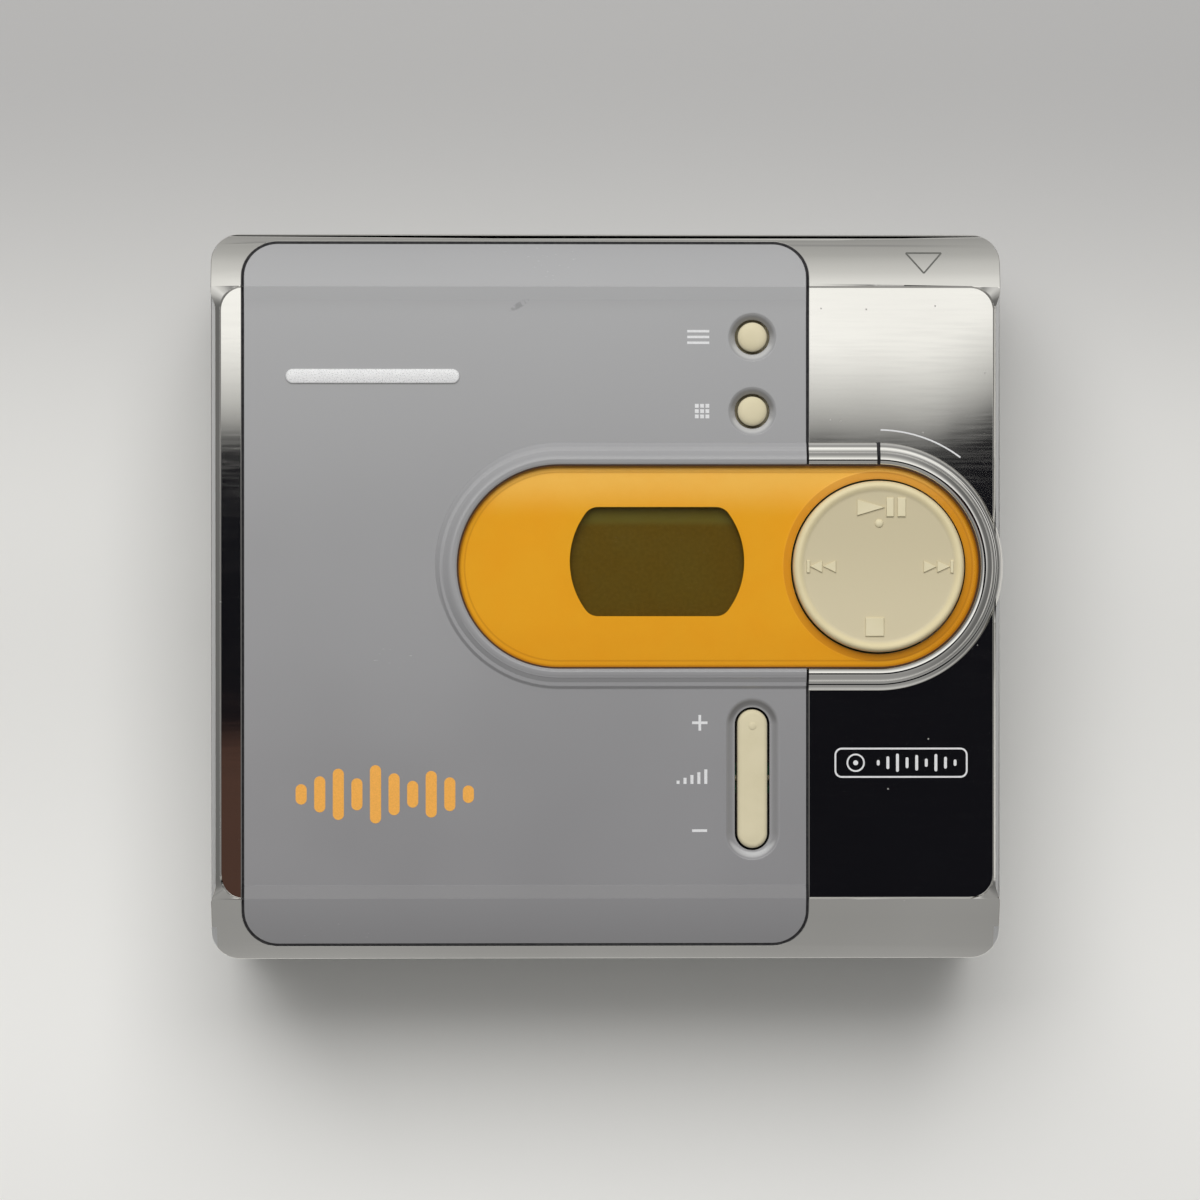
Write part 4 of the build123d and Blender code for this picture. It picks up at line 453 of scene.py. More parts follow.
# printed jacket of the AA cell: two plain colours, a pale line between them and bare metal ends
jacket = Finish("cell_wrap", "cell_jacket", tone(60, 62, 66), 0.3, Coat_Weight=0.5, Coat_Roughness=0.1)
wrap = jacket.blend(jacket.between(jacket.x, 18.0, 18.2), tone(52, 54, 58), tone(196, 150, 66))
wrap = jacket.blend(jacket.within(jacket.x, 16.8, 17.5, 0.1), wrap, tone(206, 206, 202))
ends = jacket.total(jacket.between(jacket.x, -11.3, -11.5), jacket.between(jacket.x, 36.9, 37.1))
jacket.drive("Base Color", jacket.blend(ends, wrap, tone(190, 190, 188)))
jacket.gloss(jacket.noise(5.0), 0.24, 0.36)
jacket.relief(jacket.noise(0.8, 2.0), 0.02, 0.2)

lens = Finish(
    "coated_lens", "lens_glass", tone(60, 66, 130), 0.04, IOR=1.58, Coat_Weight=0.8, Coat_Roughness=0.02,
)
coating = lens.noise(1.4, 2.0)
lens.tint(coating, tone(46, 52, 118), tone(92, 70, 150))
lens.gloss(coating, 0.03, 0.07)


# ---- mesh helpers
def placed(name, data):
    """A new object of the scene."""
    made = bpy.data.objects.new(name, data)
    scene.collection.objects.link(made)
    return made


def piece(name, finish, shape, smooth=30.0, body="lid", replaces=None):
    """A piece of mesh from a shape, its points in millimetres and its faces."""
    points, faces = shape
    mesh = bpy.data.meshes.new(name)
    mesh.from_pydata([Vector(point) * MM for point in points], [], faces)
    mesh.validate()
    sheet = bmesh.new()
    sheet.from_mesh(mesh)
    bmesh.ops.remove_doubles(sheet, verts=sheet.verts, dist=1e-8)
    bmesh.ops.recalc_face_normals(sheet, faces=sheet.faces)
    sheet.to_mesh(mesh)
    sheet.free()
    mesh.shade_smooth()
    mesh.set_sharp_from_angle(angle=radians(smooth))
    mesh.materials.append(finish.material)
    made = placed(name, mesh)
    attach(made, body)
    if replaces:
        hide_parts(replaces)


def joined(*parts):
    """Several (points, faces) as one."""
    points = []
    faces = []
    for part_points, part_faces in parts:
        offset = len(points)
        points.extend(part_points)
        faces.extend(tuple(index + offset for index in face) for face in part_faces)
    return points, faces


def loops_to_faces(count, rings, closed=True):
    """Faces that join rings of count points each, one ring above the next, and close both ends."""
    faces = []
    for start in range(0, (rings - 1) * count, count):
        for i in range(count):
            j = (i + 1) % count
            faces.append((start + i, start + j, start + count + j, start + count + i))
    if closed:
        faces.append(tuple(reversed(range(count))))
        faces.append(tuple(range((rings - 1) * count, rings * count)))
    return faces


def band_faces(count, skipped=()):
    """Faces of a closed band from four rings of count points, the last joined to the first."""
    faces = []
    for i in range(count):
        if i in skipped:
            continue
        j = (i + 1) % count
        for k in range(4):
            a = k * count
            b = ((k + 1) % 4) * count
            faces.append((a + i, a + j, b + j, b + i))
    return faces


def arc(x, y, radius, start, end, count):
    """Points of an arc, from start to end in degrees, in count steps."""
    turns = [radians(start + (end - start) * i / count) for i in range(count + 1)]
    return [(x + radius * cos(turn), y + radius * sin(turn)) for turn in turns]


def circle(x, y, radius, count=32):
    return arc(x, y, radius, 0, 360, count)[:-1]


def bar(x0, x1, y0, y1):
    return [(x0, y0), (x1, y0), (x1, y1), (x0, y1)]


def round_bar(x0, x1, y0, y1, radius, count=8):
    """Outline of a rectangle with rounded corners."""
    left, right, low, high = x0 + radius, x1 - radius, y0 + radius, y1 - radius
    outline = []
    for x, y, start in ((right, high, 0), (left, high, 90), (left, low, 180), (right, low, 270)):
        outline += arc(x, y, radius, start, start + 90, count)
    return outline


def stadium(radius, count=64):
    """Outline of the window at a distance from its middle line."""
    right = arc(WINDOW_RIGHT, WINDOW_Y, radius, -90, 90, count)
    return right + arc(WINDOW_LEFT, WINDOW_Y, radius, 90, 270, count)


def raised(outline, z):
    """The ring of an outline at a height."""
    return [(x, y, z) for x, y in outline]


def lofted(rings):
    """A solid through rings that have the same number of points."""
    return sum(rings, []), loops_to_faces(len(rings[0]), len(rings))


def capsule(x, y, half, radius, z, count):
    """One ring of an upright long outline with round ends."""
    return raised(arc(x, y + half, radius, 0, 180, count) + arc(x, y - half, radius, 180, 360, count), z)


def turned(profile, x, y, count):
    """A round solid turned about a vertical line; the profile is (radius, z) from bottom to top."""
    return lofted([raised(circle(x, y, radius, count), z) for radius, z in profile])


def dome(radius, height, z):
    """Profile of a small round dome."""
    turns = [radians(15 * i) for i in range(7)]
    return [(radius * cos(turn) + 0.002, z + height * sin(turn)) for turn in turns]


def round_edge(inset, low, rise, count):
    """A quarter round as steps of (inset, height)."""
    turns = [radians(90 * i / count) for i in range(1, count + 1)]
    return [(inset * (1 - cos(turn)), low + rise * sin(turn)) for turn in turns]


def average(outline):
    return [sum(values) / len(outline) for values in zip(*outline)]


def plate(outline, low, high, inset=0.0):
    """A flat piece from an outline, from low up to high, with a bevel at the top where an inset is given."""
    middle_x, middle_y = average(outline)
    rings = [raised(outline, z) for z in ((low, high - inset) if inset else (low,))]
    top = []
    for x, y in outline:
        away = Vector((x - middle_x, y - middle_y))
        away.length = max(0.0, away.length - inset)
        top.append((middle_x + away.x, middle_y + away.y, high))
    return lofted([*rings, top])


def hoop(outer, inner, low, high):
    """A flat closed band between two outlines with the same number of points."""
    rings = raised(outer, low), raised(outer, high), raised(inner, high), raised(inner, low)
    return sum(rings, []), band_faces(len(outer))


def sheet_with_holes(name, outlines, low, high):
    """A flat sheet; the first outline is its border and the others are holes."""
    curve = bpy.data.curves.new(name + "_outline", "CURVE")
    curve.dimensions = "2D"
    curve.fill_mode = "BOTH"
    curve.extrude = (high - low) / 2 * MM
    for outline in outlines:
        spline = curve.splines.new("POLY")
        spline.points.add(len(outline) - 1)
        for point, (x, y) in zip(spline.points, outline):
            point.co = (x * MM, y * MM, 0.0, 1.0)
        spline.use_cyclic_u = True
    holder = placed(name + "_outline", curve)
    bpy.context.view_layer.update()
    mesh = bpy.data.meshes.new_from_object(holder)
    points = [(v.co.x / MM, v.co.y / MM, v.co.z / MM + (high + low) / 2) for v in mesh.vertices]
    faces = [tuple(face.vertices) for face in mesh.polygons]
    bpy.data.objects.remove(holder)
    return points, faces


# ---- finish of the CAD nodes
def smooth_group(name, angle):
    """Geometry nodes that weld the faces of a CAD node and keep their borders sharp above an angle."""
    group = Graph(bpy.data.node_groups.new(name, "GeometryNodeTree"))
    for way in ("INPUT", "OUTPUT"):
        group.tree.interface.new_socket("Geometry", in_out=way, socket_type="NodeSocketGeometry")

    # an edge with a single face is a border of a CAD face before the weld
    alone = group.add("FunctionNodeCompare", data_type="INT", operation="EQUAL")
    single = [socket for socket in alone.inputs if socket.enabled]
    group.put(group.add("GeometryNodeInputMeshEdgeNeighbors").outputs["Face Count"], single[0])
    group.put(1, single[1])
    turn = group.add("GeometryNodeInputMeshEdgeAngle").outputs["Unsigned Angle"]
    limit = {"A": turn, "B": radians(angle)}
    over = group.add("FunctionNodeCompare", limit, data_type="FLOAT", operation="GREATER_THAN")
    border = group.add("GeometryNodeInputNamedAttribute", {"Name": "cad_border"}, data_type="BOOLEAN")
    flags = {0: over.outputs["Result"], 1: border.outputs["Attribute"]}
    both = group.add("FunctionNodeBooleanMath", flags, operation="AND").outputs["Boolean"]

    edges = {"data_type": "BOOLEAN", "domain": "EDGE"}
    flow = group.add("NodeGroupInput")
    for kind, inputs, settings in (
        ("GeometryNodeRemoveAttribute", {"Name": "custom_normal"}, {}),
        ("GeometryNodeStoreNamedAttribute", {"Name": "cad_border", "Value": alone.outputs["Result"]}, edges),
        ("GeometryNodeMergeByDistance", {"Distance": 2e-6}, {}),
        ("GeometryNodeSetShadeSmooth", {}, {}),
        ("GeometryNodeSetShadeSmooth", {"Selection": both, "Shade Smooth": False}, {"domain": "EDGE"}),
        ("NodeGroupOutput", {}, {}),
    ):
        flow = group.add(kind, {**inputs, "Geometry": flow.outputs["Geometry"]}, **settings)
    return group.tree


soften = smooth_group("weld_and_smooth", 5.0)

# widths of the rounded edges of the outer parts
BEVELS = {"lid_frame": 0.09, "face_panel": 0.07, "lower_case": 0.1, "battery_door": 0.08}

for name, node in nodes.items():
    slot_name = node.material_slots[0].material.name.split(".")[0]
    node.material_slots[0].material = Finish.of_slot[slot_name].material
    if name in BEVELS:
        node.modifiers.new("weld", "NODES").node_group = soften
        bevel = node.modifiers.new("edge", "BEVEL")
        bevel.width = BEVELS[name] * MM
        bevel.segments = 2
        bevel.limit_method = "ANGLE"
        bevel.angle_limit = radians(28)
        bevel.use_clamp_overlap = False
        bevel.harden_normals = True
        bevel.miter_outer = "MITER_ARC"

# ---- dial with its raised signs
DIAL_STEM = 2.6
DIAL_FLANGE = 1.4
DIAL_FOOT = 26.35
DIAL_RIM = 0.75
SKIRT = DIAL_R - 0.9
dial_top = dial_high.z
dish_r = DIAL_R - 1.25
dish_z = dial_top - 0.3
dish_sag = 0.08

# its stem and flange under the window, the wall, the round rim, and the slope down to the hollow face
profile = [(0.01, dial_low.z), (DIAL_STEM, dial_low.z), (DIAL_STEM, dial_top - DIAL_FLANGE)]
profile += [(SKIRT, dial_top - DIAL_FLANGE), (SKIRT, DIAL_FOOT), (DIAL_R - 0.05, DIAL_FOOT)]
profile += [(DIAL_R, DIAL_FOOT + 0.05), (DIAL_R, dial_top - DIAL_RIM)]
profile += [(DIAL_R - inset, z) for inset, z in round_edge(0.5, dial_top - DIAL_RIM, DIAL_RIM, 10)]
for i in range(1, 13):
    fall = 0.15 * (1 - cos(radians(15 * i)))
    profile.append((DIAL_R - 0.5 - 0.75 * i / 12, dial_top - fall))
for i in range(1, 13):
    share = 1 - i / 12.0
    profile.append((dish_r * share + 0.01, dish_z - dish_sag * (1 - share**2)))
piece("dial_cap", dial_skin, turned(profile, DIAL.x, DIAL.y, 160), 35.0, "dial", "control_dial")


def dish_level(x, y):
    """Height of the dial's hollow face."""
    reach = min(1.0, hypot(x - DIAL.x, y - DIAL.y) / dish_r)
    return dish_z - dish_sag * (1 - reach**2)


def dial_sign(name, outlines, rise=0.2):
    """A raised sign on the dial."""
    parts = []
    for outline in outlines:
        level = dish_level(*average(outline))
        parts.append(plate(outline, level - 0.1, level + rise, 0.07))
    piece(name, sign_cream, joined(*parts), 20.0, "dial")


def photo_bar(px0, px1, py0, py1):
    """A rectangle given in points of the photograph, its lower edge first."""
    (x0, y0), (x1, y1) = photo(px0, py0), photo(px1, py1)
    return bar(x0, x1, y0, y1)


def photo_wedge(px_tip, py_tip, px_base, py_low, py_high):
    """A triangle given in points of the photograph, that points left."""
    return [photo(px_tip, py_tip), photo(px_base, py_low), photo(px_base, py_high)]


dial_sign("sign_play", [[photo(855.8, 515.4), photo(883.2, 507.2), photo(855.8, 499.4)]])
dial_sign("sign_pause", [photo_bar(885.0, 892.3, 516.6, 497.6), photo_bar(896.1, 904.2, 516.6, 497.6)])
dial_sign(
    "sign_back",
    [
        photo_bar(805.7, 808.6, 572.5, 559.9),
        photo_wedge(809.0, 566.1, 821.0, 572.2, 560.2),
        photo_wedge(822.0, 566.1, 834.7, 572.2, 560.2),
    ],
)
dial_sign(
    "sign_forward",
    [
        [photo(922.2, 572.2), photo(935.0, 566.3), photo(922.2, 560.4)],
        [photo(935.6, 572.2), photo(948.4, 566.3), photo(935.6, 560.4)],
        photo_bar(948.9, 951.8, 572.7, 560.0),
    ],
)
dial_sign("sign_stop", [photo_bar(864.2, 882.6, 635.6, 617.2)], 0.22)

dot_x, dot_y = photo(877.8, 523.2)
dot = dome(0.46, 0.3, dish_level(dot_x, dot_y) - 0.05)
piece("dial_dot", sign_cream, turned(dot, dot_x, dot_y, 32), 35.0, "dial")

# ---- round buttons
BUTTON_FLANGE_WIDTH = 0.78
BUTTON_FLANGE_Z = 25.7
BUTTON_WALL_Z = PANEL_Z - 0.15

for name, body, place in (("menu_button", "menu", MENU), ("group_button", "group", GROUP)):
    low, high = span(name)
    flange_r = (high.x - low.x) / 2
    cap_r = flange_r - BUTTON_FLANGE_WIDTH
    profile = [(0.01, low.z), (flange_r, low.z), (flange_r, BUTTON_FLANGE_Z), (cap_r, BUTTON_FLANGE_Z)]
    profile.append((cap_r, BUTTON_WALL_Z))
    for i in range(1, 17):
        angle = radians(90 * i / 16)
        rise = (high.z - BUTTON_WALL_Z) * sin(angle)
        profile.append((cap_r * cos(angle) ** 0.72 + 0.003, BUTTON_WALL_Z + rise))
    piece(body + "_cap", cream, turned(profile, place.x, place.y, 72), 35.0, body, name)

# ---- volume rocker
ROCKER_R = 1.55
ROCKER_AXIS_Z = 25.3
TRUNNION_R = 0.3
HUB_HALF_X, HUB_HALF_Y = 1.4, 1.0
END_COUNT = 24
RING_COUNT = 2 * (END_COUNT + 1)
rocker_half = (rocker_high.y - rocker_low.y) / 2 - ROCKER_R
rocker_top = PANEL_Z + 0.35

# its wall, a round edge and a flat crown; a step is (inset, z)
steps = [(0.0, ROCKER_AXIS_Z), (0.0, rocker_top - 0.5), *round_edge(0.55, rocker_top - 0.5, 0.42, 12)]
for i in range(1, 9):
    rise = 0.08 * sin(radians(90 * i / 8))
    steps.append((0.55 + (ROCKER_R - 0.56) * i / 8, rocker_top - 0.08 + rise))
rocker_shape = lofted([
    capsule(ROCKER.x, ROCKER.y, rocker_half, max(0.01, ROCKER_R - inset), z, END_COUNT) for inset, z in steps
])
hub_outline = bar(ROCKER.x - HUB_HALF_X, ROCKER.x + HUB_HALF_X, ROCKER.y - HUB_HALF_Y, ROCKER.y + HUB_HALF_Y)
hub = plate(hub_outline, rocker_low.z, ROCKER_AXIS_Z)
trunnion_ring = circle(ROCKER.y, ROCKER_AXIS_Z, TRUNNION_R, 24)
trunnions = lofted([[(x, y, z) for y, z in trunnion_ring] for x in (rocker_low.x, rocker_high.x)])
knob = turned(dome(0.45, 0.15, rocker_top - 0.06), ROCKER.x, ROCKER.y + rocker_half + ROCKER_R - 1.7, 28)
piece("rocker_cap", cream, joined(rocker_shape, hub, trunnions, knob), 35.0, "rocker", "volume_rocker")

# ---- printed signs on the face panel
INK = 0.018
INK_FOOT = 0.03


def flat(outline):
    """One field of print on the face."""
    return plate(outline, PANEL_Z - INK_FOOT, PANEL_Z + INK)


def printed(name, finish, parts):
    piece(name, finish, joined(*parts), 20.0)


# plus and minus beside the rocker
STROKE = 0.14
plus_x, plus_y = photo(699.5, 722.0)
minus_x, minus_y = photo(699.3, 829.6)
plus = [flat(bar(plus_x - 0.8, plus_x + 0.8, plus_y - STROKE, plus_y + STROKE))]
for low, high in ((STROKE, 0.82), (-0.82, -STROKE)):
    plus.append(flat(bar(plus_x - STROKE, plus_x + STROKE, plus_y + low, plus_y + high)))
printed("print_plus", white_ink, plus)
minus = bar(minus_x - 0.78, minus_x + 0.78, minus_y - STROKE, minus_y + STROKE)
printed("print_minus", white_ink, [flat(minus)])

# three bars beside one button, a grid of squares beside the other, and a wedge of bars beside the rocker
icon_right = photo(709.0, 0.0)[0]
rows = [MENU.y + row for row in (-0.6, 0.0, 0.6)]
printed("print_list", white_ink, [flat(bar(icon_right - 2.3, icon_right, y - 0.13, y + 0.13)) for y in rows])
SQUARE = 0.4
squares = [
    flat(bar(icon_right + column, icon_right + column + SQUARE, GROUP.y + row, GROUP.y + row + SQUARE))
    for column in (-1.5, -0.95, -0.4)
    for row in (-0.75, -0.2, 0.35)
]
printed("print_squares", white_ink, squares)
wedge_left = photo(707.0, 0.0)[0] - 3.2
wedge_y = photo(0.0, 783.0)[1]
wedge = []
for i in range(5):
    left = wedge_left + 0.72 * i
    wedge.append(flat(bar(left, left + 0.32, wedge_y, wedge_y + 0.35 + 0.29 * i)))
printed("print_wedge", white_ink, wedge)

# plain raised bar with a round edge
badge_left, badge_top = photo(287.0, 365.0)
badge_right, badge_bottom = photo(460.0, 388.0)
badge_y = (badge_top + badge_bottom) / 2
badge_half = (badge_top - badge_bottom) / 2 * 0.62
badge_corner = (badge_top - badge_bottom) / 2 * 0.61
BADGE_WALL = 0.14
steps = [(0.0, -0.05), (0.0, BADGE_WALL), *round_edge(0.16, BADGE_WALL, 0.1, 5)]
rings = []
for inset, rise in steps:
    half = badge_half - inset
    outline = round_bar(
        badge_left + inset, badge_right - inset, badge_y - half, badge_y + half, badge_corner - inset, 10
    )
    rings.append(raised(outline, PANEL_Z + rise))
piece("face_bar", badge_metal, lofted(rings))

# a row of level bars in orange
motif_left, motif_top = photo(293.0, 764.0)
motif_right, motif_bottom = photo(478.0, 822.0)
heights = (0.35, 0.62, 0.88, 0.55, 1.0, 0.72, 0.46, 0.8, 0.58, 0.3)
pitch = (motif_right - motif_left) / len(heights)
motif_y = (motif_top + motif_bottom) / 2
levels = []
for i, share in enumerate(heights):
    left = motif_left + pitch * i + pitch * 0.2
    half = (motif_top - motif_bottom) / 2 * share
    levels.append(flat(round_bar(left, left + pitch * 0.6, motif_y - half, motif_y + half, pitch * 0.299)))
printed("print_levels", orange_ink, levels)

# ---- rounded collar round the window
# its section, as distance from the window's middle line and height
COLLAR = (
    (10.58, 28.2), (10.6, 28.42), (10.75, 28.56), (11.05, 28.62), (11.4, 28.58), (11.75, 28.4),
    (11.95, 28.22), (12.15, 28.16), (12.4, 28.14), (12.65, 27.98), (12.85, 27.79), (12.96, FACE_FOOT),
)
# the notch above the dial, half its width and the turn that is as wide on the round part
NOTCH_WIDTH = 0.175
NOTCH_TURN = 0.9
# the soft form without a step: where it begins, how wide it is, and its levels
SOFT_START, SOFT_WIDTH = 11.0, 2.0
SOFT_FOOT, SOFT_RISE = 27.62, 0.98


def eased(control, steps=4):
    """Points of a smooth curve through control points."""
    out = []
    for i in range(len(control) - 1):
        around = (control[max(0, i - 1)], control[i], control[i + 1], control[min(len(control) - 1, i + 2)])
        for k in range(steps):
            t = k / steps
            out.append(tuple(
                b + 0.5 * ((c - a) * t + (2 * a - 5 * b + 4 * c - d) * t**2 + (3 * b - a - 3 * c + d) * t**3)
                for a, b, c, d in zip(*around)
            ))
    out.append(control[-1])
    return out


def along_collar(stops, soft_from=400.0):
    """The collar through stops of (centre x, direction in degrees). Its step fades out beyond soft_from."""
    section = eased(COLLAR)
    section.append((section[0][0], section[-1][1]))
    rings = []
    for x, turn in stops:
        turn_x, turn_y = cos(radians(turn)), sin(radians(turn))
        share = min(1.0, max(0.0, (turn - soft_from) / 50.0))
        ring = []
        for radius, z in section:
            if radius > SOFT_START:
                fall = cos(pi * min(1.0, (radius - SOFT_START) / SOFT_WIDTH))
                z += (SOFT_FOOT + SOFT_RISE * (0.5 + 0.5 * fall) - z) * share
            ring.append((x + radius * turn_x, WINDOW_Y + radius * turn_y, z))
        rings.append(ring)
    return lofted(rings)


grey_stops = [(PANEL_RIGHT, 90.0)] + [(WINDOW_LEFT, 90.0 + 180.0 * i / 72) for i in range(73)]
grey_stops.append((PANEL_RIGHT, 270.0))
piece("collar_grey", panel, along_collar(grey_stops, 170.0), 50.0)
first_stops = [(PANEL_RIGHT + SEAM, 90.0), (WINDOW_RIGHT - NOTCH_WIDTH, 90.0)]
last_stops = [(WINDOW_RIGHT, 90.0 - NOTCH_TURN - (180.0 - NOTCH_TURN) * i / 72) for i in range(73)]
last_stops.append((PANEL_RIGHT + SEAM, -90.0))
piece("collar_chrome", chrome, joined(along_collar(first_stops), along_collar(last_stops)), 50.0)
# a black sheet in the notch, as painted shade of the slit
notch_floor = bar(WINDOW_RIGHT - 0.2, WINDOW_RIGHT + 0.22, WINDOW_Y + 10.6, WINDOW_Y + 12.9)
piece("notch_floor", rubber, plate(notch_floor, PANEL_Z - 0.05, PANEL_Z + 0.1))

# ---- black sheet in the gap round the face panel, as painted shade of the gap
GAP_SHADE_FOOT = 26.3
GAP_SHADE_DEPTH = 0.3
bpy.context.view_layer.update()


def panel_level(x, y):
    """Height of the face panel at a place."""
    hit, place, _, _ = nodes["face_panel"].ray_cast(Vector((x, y, 40.0)) * MM, Vector((0, 0, -1)))
    return place.z / MM if hit else PANEL_Z


def divided(outlines, longest=0.5):
    """Like outlines with their long runs divided, each run in the same number of steps in all of them."""
    first = outlines[0]
    out = [[] for _ in outlines]
    for i in range(len(first)):
        j = (i + 1) % len(first)
        count = max(1, round(dist(first[i], first[j]) / longest))
        for line, result in zip(outlines, out):
            (x0, y0), (x1, y1) = line[i], line[j]
            result += [(x0 + (x1 - x0) * k / count, y0 + (y1 - y0) * k / count) for k in range(count)]
    return out


def round_panel(grow, radius):
    """Outline of the face panel, grown by a distance."""
    return round_bar(
        panel_low.x - grow, panel_high.x + grow, panel_low.y - grow, panel_high.y + grow, radius, 16
    )


gap_shade_outer, gap_shade_inner = divided((round_panel(SEAM, 3.7), round_panel(-0.02, 3.43)))
centre = (panel_low + panel_high) / 2
tops = []
for x, y in gap_shade_inner:
    inward = Vector((centre.x - x, centre.y - y)).normalized() * 0.35
    tops.append(min(PANEL_Z, panel_level(x + inward.x, y + inward.y)) - GAP_SHADE_DEPTH)
feet = [GAP_SHADE_FOOT if top > 27.0 else top - 0.5 for top in tops]
points = []
for line, heights in ((gap_shade_outer, feet), (gap_shade_outer, tops), (gap_shade_inner, tops), (gap_shade_inner, feet)):
    points += [(x, y, z) for (x, y), z in zip(line, heights)]
# the black sheet is open where the window crosses the panel's right edge
crossed = []
for i, (x, y) in enumerate(gap_shade_outer):
    next_y = gap_shade_outer[(i + 1) % len(gap_shade_outer)][1]
    if x > PANEL_RIGHT - 1 and abs((y + next_y) / 2 - WINDOW_Y) < 10.6:
        crossed.append(i)
piece("panel_seal", rubber, (points, band_faces(len(gap_shade_outer), crossed)))

# ---- print and plate behind the window
# the opening over the display: bowed ends and rounded corners
half_high = 5.675
flat_half = 6.9
tip_half = 9.07
bow = (half_high**2 + (tip_half - flat_half) ** 2) / (2 * (tip_half - flat_half))
fillet = 1.6


def opening(grow):
    """Outline of the display's opening, grown by a distance."""
    corner_y = half_high + grow - fillet
    bow_x = tip_half - bow
    corner_x = bow_x + sqrt((bow + grow - fillet) ** 2 - corner_y**2)
    turn = degrees(atan2(corner_y, corner_x - bow_x))
    quarter = arc(bow_x, 0.0, bow + grow, 0, turn, 12) + arc(corner_x, corner_y, fillet, turn, 90, 8)[1:]
    upper = quarter + [(-x, y) for x, y in quarter[::-1]]
    return [(DISPLAY_X + x, DISPLAY_Y + y) for x, y in upper + [(-x, -y) for x, y in upper]]


print_hole = circle(DIAL.x, DIAL.y, DIAL_R + 0.19, 120)
print_outlines = (stadium(10.46), opening(0.0), print_hole)
piece("window_print", mask, sheet_with_holes("window_print", print_outlines, PRINT_Z, PRINT_Z + 0.03))

mask_r = (mask_high.y - mask_low.y) / 2
hole_r = DIAL_R + 0.3
hole_turn = degrees(acos((DIAL.x - mask_high.x) / hole_r))
mask_outline = [(mask_high.x, WINDOW_Y + mask_r), *arc(WINDOW_LEFT, WINDOW_Y, mask_r, 90, 270, 48)]
mask_outline.append((mask_high.x, WINDOW_Y - mask_r))
mask_outline += arc(DIAL.x, DIAL.y, hole_r, 180 + hole_turn, 180 - hole_turn, 32)
mask_plate = sheet_with_holes("mask_plate", (mask_outline, opening(0.12)), mask_low.z, mask_high.z)
piece("mask_plate", mask, mask_plate, replaces="window_mask")

# dark brown sheet between the window and its collar, as painted shade of the gap
window_seal = hoop(stadium(10.57), stadium(10.42), WINDOW_TOP - 0.2, WINDOW_TOP + 0.015)
piece("window_seal", seal_brown, window_seal)

# ---- trim beside the creases and at the sides
# soft slope from the front crease of the face panel down to its flat middle
SLOPE_REACH = 2.65
SLOPE_LONG, SLOPE_STEEP = 0.05, 0.19
section = [(FRONT_CREASE + 0.02, PANEL_Z + 0.15)]
for i in range(25):
    t = (i / 24) ** 2
    rise = SLOPE_LONG * (1 - t) ** 2 + SLOPE_STEEP * exp(-t * SLOPE_REACH / 0.16)
    section.append((FRONT_CREASE - SLOPE_REACH * t, PANEL_Z + 0.002 + rise))
section += [(FRONT_CREASE - SLOPE_REACH, FACE_FOOT), (FRONT_CREASE + 0.02, FACE_FOOT)]
ends = (panel_low.x + 0.03, panel_high.x - 0.03)
piece("crease_front", panel, lofted([[(x, y, z) for y, z in section] for x in ends]), 40.0)


# side rims of the chrome, which fall away outwards and run round the corners of the flat face
def side_line(y):
    """Half width of the lid at y, near its corners."""
    return RIM_EDGE + 0.46 * min(1.0, max(0.0, (abs(y) - 30.1) / 1.3))


def corner_patch(side, face_x, crease):
    """Sloping patch between the round corner of the flat face and the lid's edge."""
    way = 1 if crease > 0 else -1
    centre_x = face_x - side * FACE_CORNER
    centre_y = crease - way * FACE_CORNER
    rings = []
    for i in range(21):
        turn = radians(90 * i / 20)
        over, up = cos(turn), sin(turn)
        far = FACE_CORNER
        while (
            far < 6.0
            and abs(centre_x + side * far * over) < side_line(centre_y + way * far * up)
            and far * up < FACE_CORNER
        ):
            far += 0.01
        width = max(far - FACE_CORNER, 0.02)
        height = RIM_FOOT + (RIM_TOP - RIM_FOOT) * min(1.0, (90 - degrees(turn)) / 30)
        section = ((0.0, FACE_FOOT), (0.0, height - 0.03), (0.06, height), (1.0, RIM_FOOT), (1.0, FACE_FOOT))
        ring = []
        for share, z in section:
            reach = FACE_CORNER + width * share
            ring.append((centre_x + side * reach * over, centre_y + way * reach * up, z))
        rings.append(ring)
    return lofted(rings)


for name, inner, outer in (("rim_left", -40.0, -RIM_EDGE), ("rim_right", 40.3, RIM_EDGE)):
    side = 1 if inner > 0 else -1
    low_y, high_y = REAR_CREASE + FACE_CORNER, FRONT_CREASE - FACE_CORNER
    # a run is two ends, each its y and its share of the full height
    runs = [((low_y, 1.0), (high_y, 1.0))]
    if inner > 0:
        bulge = sqrt(BULGE_R**2 - (outer - DIAL.x) ** 2) + 0.1
        runs = [((low_y, 1.0), (DIAL.y - bulge, 0.0)), ((DIAL.y + bulge, 0.0), (high_y, 1.0))]
    parts = [corner_patch(side, inner, FRONT_CREASE), corner_patch(side, inner, REAR_CREASE)]
    for (start, first), (end, last) in runs:
        rings = []
        for y, rise in ((start, first), (start + RIM_FADE, 1.0), (end - RIM_FADE, 1.0), (end, last)):
            top = RIM_FOOT + (RIM_TOP - RIM_FOOT) * rise
            ring = ((inner, FACE_FOOT), (inner, top - 0.05), (inner + side * 0.04, top))
            ring += ((outer, RIM_FOOT), (outer, FACE_FOOT))
            rings.append([(x, y, z) for x, z in ring])
        parts.append(lofted(rings))
    piece(name, chrome, joined(*parts), 24.0)

